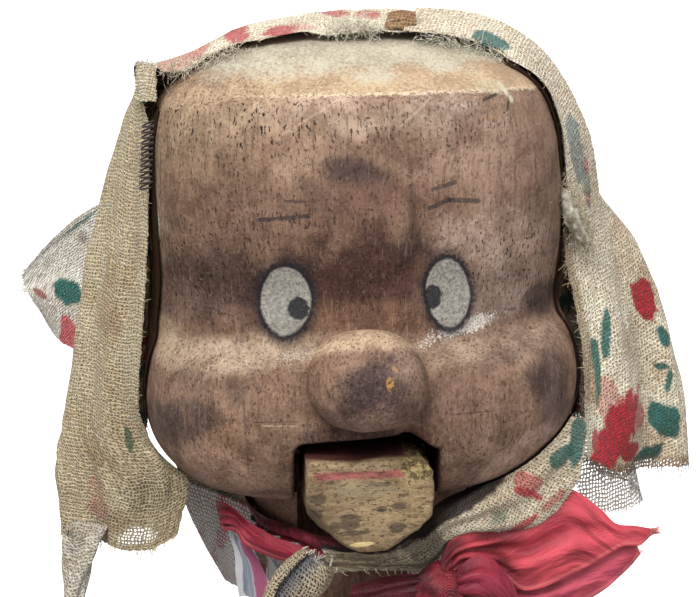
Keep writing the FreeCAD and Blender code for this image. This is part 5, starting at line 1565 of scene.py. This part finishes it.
LEFT_LOOP = [
    [(17.6, -43, 31.2), (17.2, -44.9, 29.9), (17, -45.5, 28.1), (16.9, -44.9, 25.8), (16.9, -43, 23.2)],
    [(10.4, -42.5, 31.2), (9.6, -45.6, 29.4), (9, -45, 27.2), (8.6, -45.6, 24.4), (8.3, -43, 20)],
    [(2.7, -41.5, 29.9), (1.8, -44.2, 28), (1, -43.4, 25.4), (0.3, -44.2, 22), (-0.2, -42, 17)],
    [(-5.1, -40, 27.9), (-5.7, -41.8, 26.2), (-6.2, -41.2, 24), (-6.7, -42, 20.8), (-7.1, -40.5, 16)],
]
NECK_TURN = [
    [(-39.5, -14, 43.8), (-38.9, -16.8, 40.6), (-38.4, -16, 37.2)],
    [(-38, -19.5, 46.2), (-37.2, -21.8, 42.4), (-36.6, -20.5, 38.8)],
    [(-35, -23, 45.2), (-34.4, -25.2, 42.2), (-34, -24, 39.2)],
    [(-30.7, -28, 42.4), (-31, -29.4, 39.6), (-31.8, -28.5, 36.4)],
    [(-25.1, -30, 39.2), (-25.6, -31.4, 36.6), (-26.4, -30, 33.6)],
    [(-19, -31, 36.8), (-19.6, -32.4, 34.4), (-20.7, -31, 31.8)],
    [(-12, -33.5, 34), (-12, -34.6, 31.4), (-12, -33.5, 28.6)],
]
HANGING_TAIL = [
    [(9.5, -43, 13), (13, -44.5, 12.7), (17, -43, 12.6), (20.5, -44, 13)],
    [(5, -43.2, -1), (13, -45.5, -1.5), (21, -43.2, -1.5), (30, -45, -1)],
    [(9, -44, -15), (17, -46.3, -15.5), (25.5, -43.8, -15.5), (34, -46, -15)],
    [(11.5, -44, -27), (19, -46, -27.6), (27, -44, -27.6), (35, -46, -27)],
]


def make_ribbon_piece(name, rows, size, tint, deep, replaces=(), fray=("v1",)):
    """A stretch of satin ribbon, in painted light and shade: its tint where it is lit, on its ridges and
    farther along, and its deep tint as painted shade in its folds.
    """
    grid = loft(rows, *size)
    along, across = grid_shares(grid)
    normal = grid_normals(grid)
    fan = np.sin(across * 2 * PI * 3.1 + 0.9) * (1 - smooth(along, 0.1, 0.75)) * smooth(along, 0.0, 0.12)
    grid = grid + normal * (0.7 * fan + 0.35 * noise(grid, 8, 131))[..., None]
    lit = smooth(noise(grid, 9, 141) + 0.5 * fan + 1.4 * smooth(along, 0.22, 0.6) - 0.7, -0.8, 0.9)
    u = thread_lengths(grid)[0]
    selvage = (1 - smooth(np.abs(u[:, -1:] - u - 0.9), 0.25, 0.5)) * 0.5
    # Painted light and shade: deep where shaded, tint where lit, with a pale stitched selvage near one edge
    colour = over(over(deep, tint, lit), (236, 132, 132), selvage)
    made = cloth(name, grid, satin, colour, fray, replaces)
    return grid


loop_grid = make_ribbon_piece(
    "ribbon_bow_right", RIGHT_LOOP, (120, 70), SALMON, SALMON_IN_SHADE,
    ["ribbon_right_loop"],
)
make_ribbon_piece(
    "ribbon_bow_inner", INNER_LOOP, (90, 50), MAUVE, (104, 22, 42),
    (), (),
)
tail_grid = make_ribbon_piece(
    "ribbon_lower_tail", RIGHT_TAIL, (90, 50), (206, 84, 104), (120, 26, 44),
    ["ribbon_right_tail"],
)
# The left loop lies in shadow under the chin band: both its tints are painted shadow, near black
make_ribbon_piece(
    "ribbon_bow_left", LEFT_LOOP, (70, 60), (58, 6, 14), (20, 1, 4),
    ["ribbon_left_loop"], (),
)
make_ribbon_piece(
    "ribbon_neck_turn", NECK_TURN, (90, 30), (176, 46, 68), (78, 10, 22),
    (), (),
)
hanging_grid = make_ribbon_piece(
    "ribbon_long_tail", HANGING_TAIL, (110, 70), SALMON, SALMON_IN_SHADE,
    ["ribbon_hanging_tail"],
)
fringe("ribbon_loop_fray", loop_grid, "v1", 90, 4.0, PINK, 31, 0.18, 0.45)
fringe("ribbon_tail_fray", tail_grid, "v1", 60, 3.0, PINK, 32, 0.18, 0.45)
fringe("ribbon_long_fray", hanging_grid, "v1", 80, 3.0, PINK, 33, 0.18, 0.45)


# The knot's middle and length, the ribbon band's height, half width and lean, and the neck's flare under it
KNOT_MIDDLE = (17.4, -42.5, 24)
KNOT_LENGTH = 12.6
BAND_HEIGHT, BAND_HALF, BAND_LEAN = 40.3, 4.4, 12
NECK_RADIUS, FLARE, FLARE_FOOT, FLARE_RISE = 24.5, 8.5, 27, 23


def make_ribbon_knot():
    """The bow's knot: one turn of ribbon drawn tight, with creases round it."""
    turns = np.linspace(0, 2 * PI, 73)
    share = np.linspace(0, 1, 50)[:, None]
    swell = np.sin(share * PI) ** 0.55
    high = (5.2 + 4.0 * swell) * (1 + 0.06 * np.sin(turns * 3 + share * 6))
    deep = (2.8 + 2.7 * swell) * (1 + 0.08 * np.sin(turns * 4 - share * 5))
    grid = np.stack([
        KNOT_MIDDLE[0] - KNOT_LENGTH / 2 + KNOT_LENGTH * share + 0.7 * np.sin(turns * 2),
        KNOT_MIDDLE[1] + deep * np.cos(turns),
        KNOT_MIDDLE[2] + high * np.sin(turns) + 0 * share,
    ], -1)
    rays = np.sin(turns * 9 + 4 * np.abs(share - 0.5))
    grid = grid + (0.5 * noise(grid, (9, 3, 3), 151) + 0.35 * rays)[..., None] * np.array([0, 0.7, 0.7])
    colour = over((52, 5, 13), (120, 24, 36), smooth(noise(grid, (6, 2.5, 2.5), 153), -0.6, 0.6))
    made = cloth("ribbon_bow_knot", grid, satin, colour, (), ["ribbon_knot"])


def make_ribbon_band():
    """The ribbon's turn round the neck, gathered into a narrow ruck."""
    turns = np.linspace(0, 2 * PI, 260)
    across = np.linspace(0, 1, 16)[:, None]
    height = BAND_HEIGHT + BAND_HALF * (1 - 2 * across)
    radius = NECK_RADIUS + FLARE * np.clip((height - FLARE_FOOT) / FLARE_RISE, 0, 1)
    radius = radius + 1.6 + 0.7 * np.sin(across * PI * 4 + 3 * np.sin(turns * 2)) + 0.4 * np.sin(turns * 9)
    y = radius * np.sin(turns)
    lean = math.tan(math.radians(BAND_LEAN))
    radius = radius + FLARE / FLARE_RISE * y * lean
    grid = np.stack([radius * np.cos(turns), radius * np.sin(turns), height + lean * y], -1)
    colour = over((70, 8, 18), (150, 40, 58), smooth(noise(grid, (7, 7, 3), 161), -0.7, 0.7))
    made = cloth("ribbon_neck_band", grid, satin, colour, (), ["ribbon_band"])


make_ribbon_knot()
make_ribbon_band()


# ---------------------------------------------------------------- dress

# Heights of the dress, with its half width, half depth and the height of its folds there
DRESS_LEVELS = [
    (-205, 84, 66, 2.3), (-150, 69, 55, 2.0), (-90, 53, 44, 1.6), (-48, 46.5, 37, 1.2), (-22, 45, 34, 0.8),
    (-9, 38, 31.5, 0.4), (-2, 30.0, 29.4, 0.0),
]
DRESS_FOLDS = 20
WAIST_Z, HEM_Z = -2, -205
# How square the dress is in plan, and the radius that its print goes round at, and that of the sleeve's print
DRESS_POWER = 2.3
DRESS_PRINT_RADIUS, SLEEVE_PRINT_RADIUS = 74, 12.6
SLEEVE_TOP, SLEEVE_LENGTH = 16, 78.5
# The shoulder joints, and how far a sleeve hangs out from straight down, in degrees
SHOULDER_X, SHOULDER_Z, SLEEVE_SWING = 53, -17, 30
# Pairs of height and radius of the collar and, along its own axis, of a sleeve
COLLAR_RADII = [(-3, 31.0), (0, 29.8), (4, 29.0), (8, 27.2), (14, 26.4), (27, 26.6), (31, 28.4), (35, 30.6)]
SLEEVE_RADII = [
    (-62.5, 12.7), (-55, 12.5), (-30, 12.6), (-16, 14.4), (-9, 17.6), (0, 19.0), (9, 16.9), (16, 11.5),
]


def dress_colour(u, v, seed):
    """White cotton with wavy blue-grey stripes and magenta sprigs."""
    colour = one_tint(u.shape, (222, 220, 214))
    for offset, tint, width, strength in [(0, (96, 110, 132), 1.5, 0.8), (9, (172, 60, 110), 1.0, 0.75)]:
        wave = (u + offset + 1.6 * np.sin(v * 0.35)) % 24 - 12
        colour = over(colour, tint, strength * (1 - smooth(np.abs(wave), width, width + 0.8)))
    return sprigs(u - 6, v, colour, 24, seed, (176, 66, 120), (92, 106, 128), 0.8, 0.8)


def make_trim(name, rim, swell, lift, way, node, body="root"):
    """A plain magenta band that lies lift mm off the last rows of a grid, and swell mm more in its middle."""
    band = rim + grid_normals(rim) * (swell * np.sin(np.linspace(0, PI, len(rim))) + lift)[:, None, None] * way
    return cloth(name, band, cotton, one_tint(band.shape[:2], (118, 44, 72)), (), [node], body)


def make_dress():
    turns = np.linspace(0, 2 * PI, 361)
    z = np.linspace(WAIST_Z, HEM_Z, 190)[:, None]
    wide, deep, fold = (profile(z, [(row[0], row[column]) for row in DRESS_LEVELS]) for column in (1, 2, 3))
    share = (WAIST_Z - z) / (WAIST_Z - HEM_Z)
    uneven = 1 + 0.2 * np.sin(turns * 7 + 4 * share)
    folds = fold * np.cos(turns * DRESS_FOLDS + 0.35 * np.sin(turns * 3)) * uneven
    folds = folds + 0.5 * np.sin(turns * 9 + 2 + share) * smooth(share, 0.3, 1.0)
    power = 2 / DRESS_POWER
    cosine, sine = np.cos(turns), np.sin(turns)
    x = (wide - 0.6 + folds) * np.sign(cosine) * np.abs(cosine) ** power
    y = (deep - 0.6 + folds) * np.sign(sine) * np.abs(sine) ** power
    grid = np.stack([x, y, z + 0 * x], -1)
    v = thread_lengths(grid)[1]
    colour = dress_colour(turns * DRESS_PRINT_RADIUS + 0 * v, v, 3)
    made = cloth("dress_body", grid, cotton, colour, (), ["dress"])
    made = make_trim("dress_hem", grid[-18:], 0.5, 0.45, -1, "hem_band")


def make_collar():
    """The dress's neck, gathered under tacks and open at the throat."""
    turns = np.linspace(math.radians(-62), math.radians(236), 330)
    z = np.linspace(35, -3, 60)[:, None]
    gathers = np.sin(turns * 21 + 2 * np.sin(turns * 5))
    radius = profile(z, COLLAR_RADII) + 0.55 * gathers + 0.25 * np.sin(turns * 34)
    radius = radius + smooth(z, 24, 35) * 0.9 * gathers
    grid = np.stack([radius * np.cos(turns), radius * np.sin(turns), z + 0 * radius], -1)
    grid = grid + np.array([0, 0, 1.0]) * (0.8 * np.sin(turns * 4) * smooth(z, 20, 35))[..., None]
    u, v = thread_lengths(grid)
    made = cloth("dress_collar", grid, cotton, dress_colour(u * 1.4, v, 8), ("v0", "u0", "u1"))
    fringe("dress_collar_fray", grid, "v0", 90, 2.0, (214, 210, 204), 41, 0.2)


COLLAR_TURN = [
    [(-36.6, -15, 36.4), (-34.4, -20, 36.4), (-31.6, -23, 35.8)],
    [(-35.2, -15, 28.2), (-32.3, -20.6, 28.8), (-28.6, -24.4, 28.8)],
    [(-34.4, -14, 17.3), (-30.4, -21.4, 19.5), (-25, -26.4, 20.6)],
]


def make_collar_turn():
    """The dress's neck turned out over the scarf's roll at the left."""
    grid = loft(COLLAR_TURN, 60, 40)
    along, across = grid_shares(grid)
    colour = one_tint(grid.shape[:2], (214, 214, 216))
    waver = across + 0.05 * np.sin(along * 9) + 0.03 * noise(grid, 2, 191)
    stripes = [(0.34, 0.11, (86, 100, 124)), (0.56, 0.05, (120, 132, 150)), (0.82, 0.14, (150, 44, 96))]
    for middle, half, tint in stripes:
        colour = over(colour, tint, (1 - smooth(np.abs(waver - middle), half, half + 0.05)) * 0.9)
    grid = grid + grid_normals(grid) * (0.5 * np.sin(across * 8) + 0.3 * noise(grid, 5, 193))[..., None]
    made = cloth("dress_collar_turn", grid, cotton, colour, ("v0", "v1"))


def make_sleeve(sign, name):
    turns = np.linspace(0, 2 * PI, 190)
    share = np.linspace(0, 1, 110)[:, None]
    z = SLEEVE_TOP - SLEEVE_LENGTH * share
    strength = 0.8 * np.exp(-(((z + 17) / 7) ** 2)) + 0.75 * np.exp(-(((z - 14) / 8) ** 2)) + 0.15
    gathers = np.sin(turns * 11 + np.sin(turns * 3)) * strength
    radius = profile(z, SLEEVE_RADII) - 0.7 + gathers
    local = np.stack([radius * np.cos(turns), radius * np.sin(turns), z + 0 * radius], -1)
    swing = math.radians(SLEEVE_SWING)
    outward = local[..., 0] * math.cos(swing) - local[..., 2] * math.sin(swing)
    up = local[..., 0] * math.sin(swing) + local[..., 2] * math.cos(swing)
    grid = np.stack([sign * (SHOULDER_X + outward), local[..., 1], up + SHOULDER_Z], -1)
    v = thread_lengths(grid)[1]
    colour = dress_colour(turns * SLEEVE_PRINT_RADIUS + 0 * v, v, 15)
    body = name + "_arm"
    made = cloth(
        name + "_sleeve_cloth", grid, cotton, colour, (), [name + "_sleeve"], body=None
    )
    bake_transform(made)
    made = make_trim(name + "_cuff_cloth", grid[-14:], 0.4, 0.5, sign, name + "_cuff", body)


make_dress()
make_collar()
make_collar_turn()
make_sleeve(-1, "left")
make_sleeve(1, "right")


# ---------------------------------------------------------------- studio


def make_floor():
    """A round pale floor that curves up into a white wall. Its paper glows softly away from the part."""
    floor_z, flat, bend_radius, top = -206.0, 1700.0, 700.0, 2600.0
    bend = np.linspace(0, PI / 2, 16)
    reaches = np.linspace(0.0, flat, 12)[1:]
    line = [(reach, floor_z) for reach in reaches]
    line += [(flat + bend_radius * math.sin(a), floor_z + bend_radius * (1 - math.cos(a))) for a in bend[1:]]
    line.append((flat + bend_radius, top))
    turns = np.linspace(0, 2 * PI, 72, endpoint=False)
    points = [(r * math.cos(turn), r * math.sin(turn), z) for r, z in line for turn in turns]
    faces = grid_faces(len(line), len(turns), True).tolist() + [list(range(len(turns)))]
    look = Look("studio_paper", Emission_Color=(1.0, 1.0, 1.0, 1.0))
    place = look.place()
    grain = look.noise(place, 0.4, 3.0)
    paper = look.mix(grain * 0.3, rgb(244, 243, 241), rgb(238, 237, 235))
    x, y, z = look.split(place)
    away = look.sum("SQRT", x * x + y * y + z * z)
    glow = look.between(away, 300.0, 1100.0)
    look.tree.links.new(glow.socket, look.shader.inputs["Emission Strength"])
    material = look.finish(paper, 0.9 + grain * 0.05, grain * 0.02)
    mesh = bpy.data.meshes.new("studio_floor")
    mesh.from_pydata([tuple(value * MM for value in point) for point in points], [], faces)
    mesh.materials.append(material)
    floor = bpy.data.objects.new("studio_floor", mesh)
    bpy.context.scene.collection.objects.link(floor)
    floor.visible_diffuse = False
    floor.visible_glossy = False


def make_light(name, place, target, size, power):
    """A square lamp at a place, turned to its target."""
    light = bpy.data.lights.new(name, "AREA")
    light.shape = "SQUARE"
    light.size = size * MM
    light.energy = power
    lamp = bpy.data.objects.new(name, light)
    bpy.context.scene.collection.objects.link(lamp)
    way = unit(np.array(place, float) - np.array(target, float))
    side = unit(np.cross([0, 0, 1], way))
    rise = np.cross(way, side)
    rows = [[side[i], rise[i], way[i], place[i] * MM] for i in range(3)]
    lamp.matrix_world = Matrix(rows + [[0, 0, 0, 1]])


SENSOR = 36.0
WHITE_LIGHT = (1.0, 1.0, 1.0, 1.0)


def make_camera():
    """The photograph's view: a little from the left and above, and turned by its roll."""
    azimuth, elevation, roll = (math.radians(degrees) for degrees in (-4.0, 9.0, 1.5))
    target, distance, focal = np.array([-4.0, -45.0, 104.0]), 430.0, 1720.0 / 700.0
    back = np.array([
        math.sin(azimuth) * math.cos(elevation), -math.cos(azimuth) * math.cos(elevation), math.sin(elevation)
    ])
    level = np.array([math.cos(azimuth), math.sin(azimuth), 0.0])
    upright = np.cross(back, level)
    side = math.cos(roll) * level - math.sin(roll) * upright
    rise = math.sin(roll) * level + math.cos(roll) * upright
    eye = (target + distance * back) * MM
    lens = bpy.data.cameras.new("view")
    lens.sensor_fit = "HORIZONTAL"
    lens.sensor_width = SENSOR
    lens.lens = SENSOR * focal
    lens.clip_start = 0.02
    lens.clip_end = 20.0
    camera = bpy.data.objects.new("view", lens)
    bpy.context.scene.collection.objects.link(camera)
    camera.matrix_world = Matrix([[side[i], rise[i], back[i], eye[i]] for i in range(3)] + [[0, 0, 0, 1]])
    bpy.context.scene.camera = camera


make_floor()
make_light("key", (-350, -800, 1000), (0, 0, 80), 650, 19)
make_light("fill", (800, -800, 250), (0, 0, 60), 900, 4)
make_light("rim", (0, 300, 900), (0, 0, 80), 900, 4)
make_light("back", (400, 900, 500), (0, 0, 0), 900, 4)
world = bpy.data.worlds.new("studio_air")
world.use_nodes = True
air = world.node_tree.nodes["Background"].inputs
air["Color"].default_value = WHITE_LIGHT
air["Strength"].default_value = 0.34
bpy.context.scene.world = world
bpy.context.scene.view_settings.view_transform = "Standard"
make_camera()
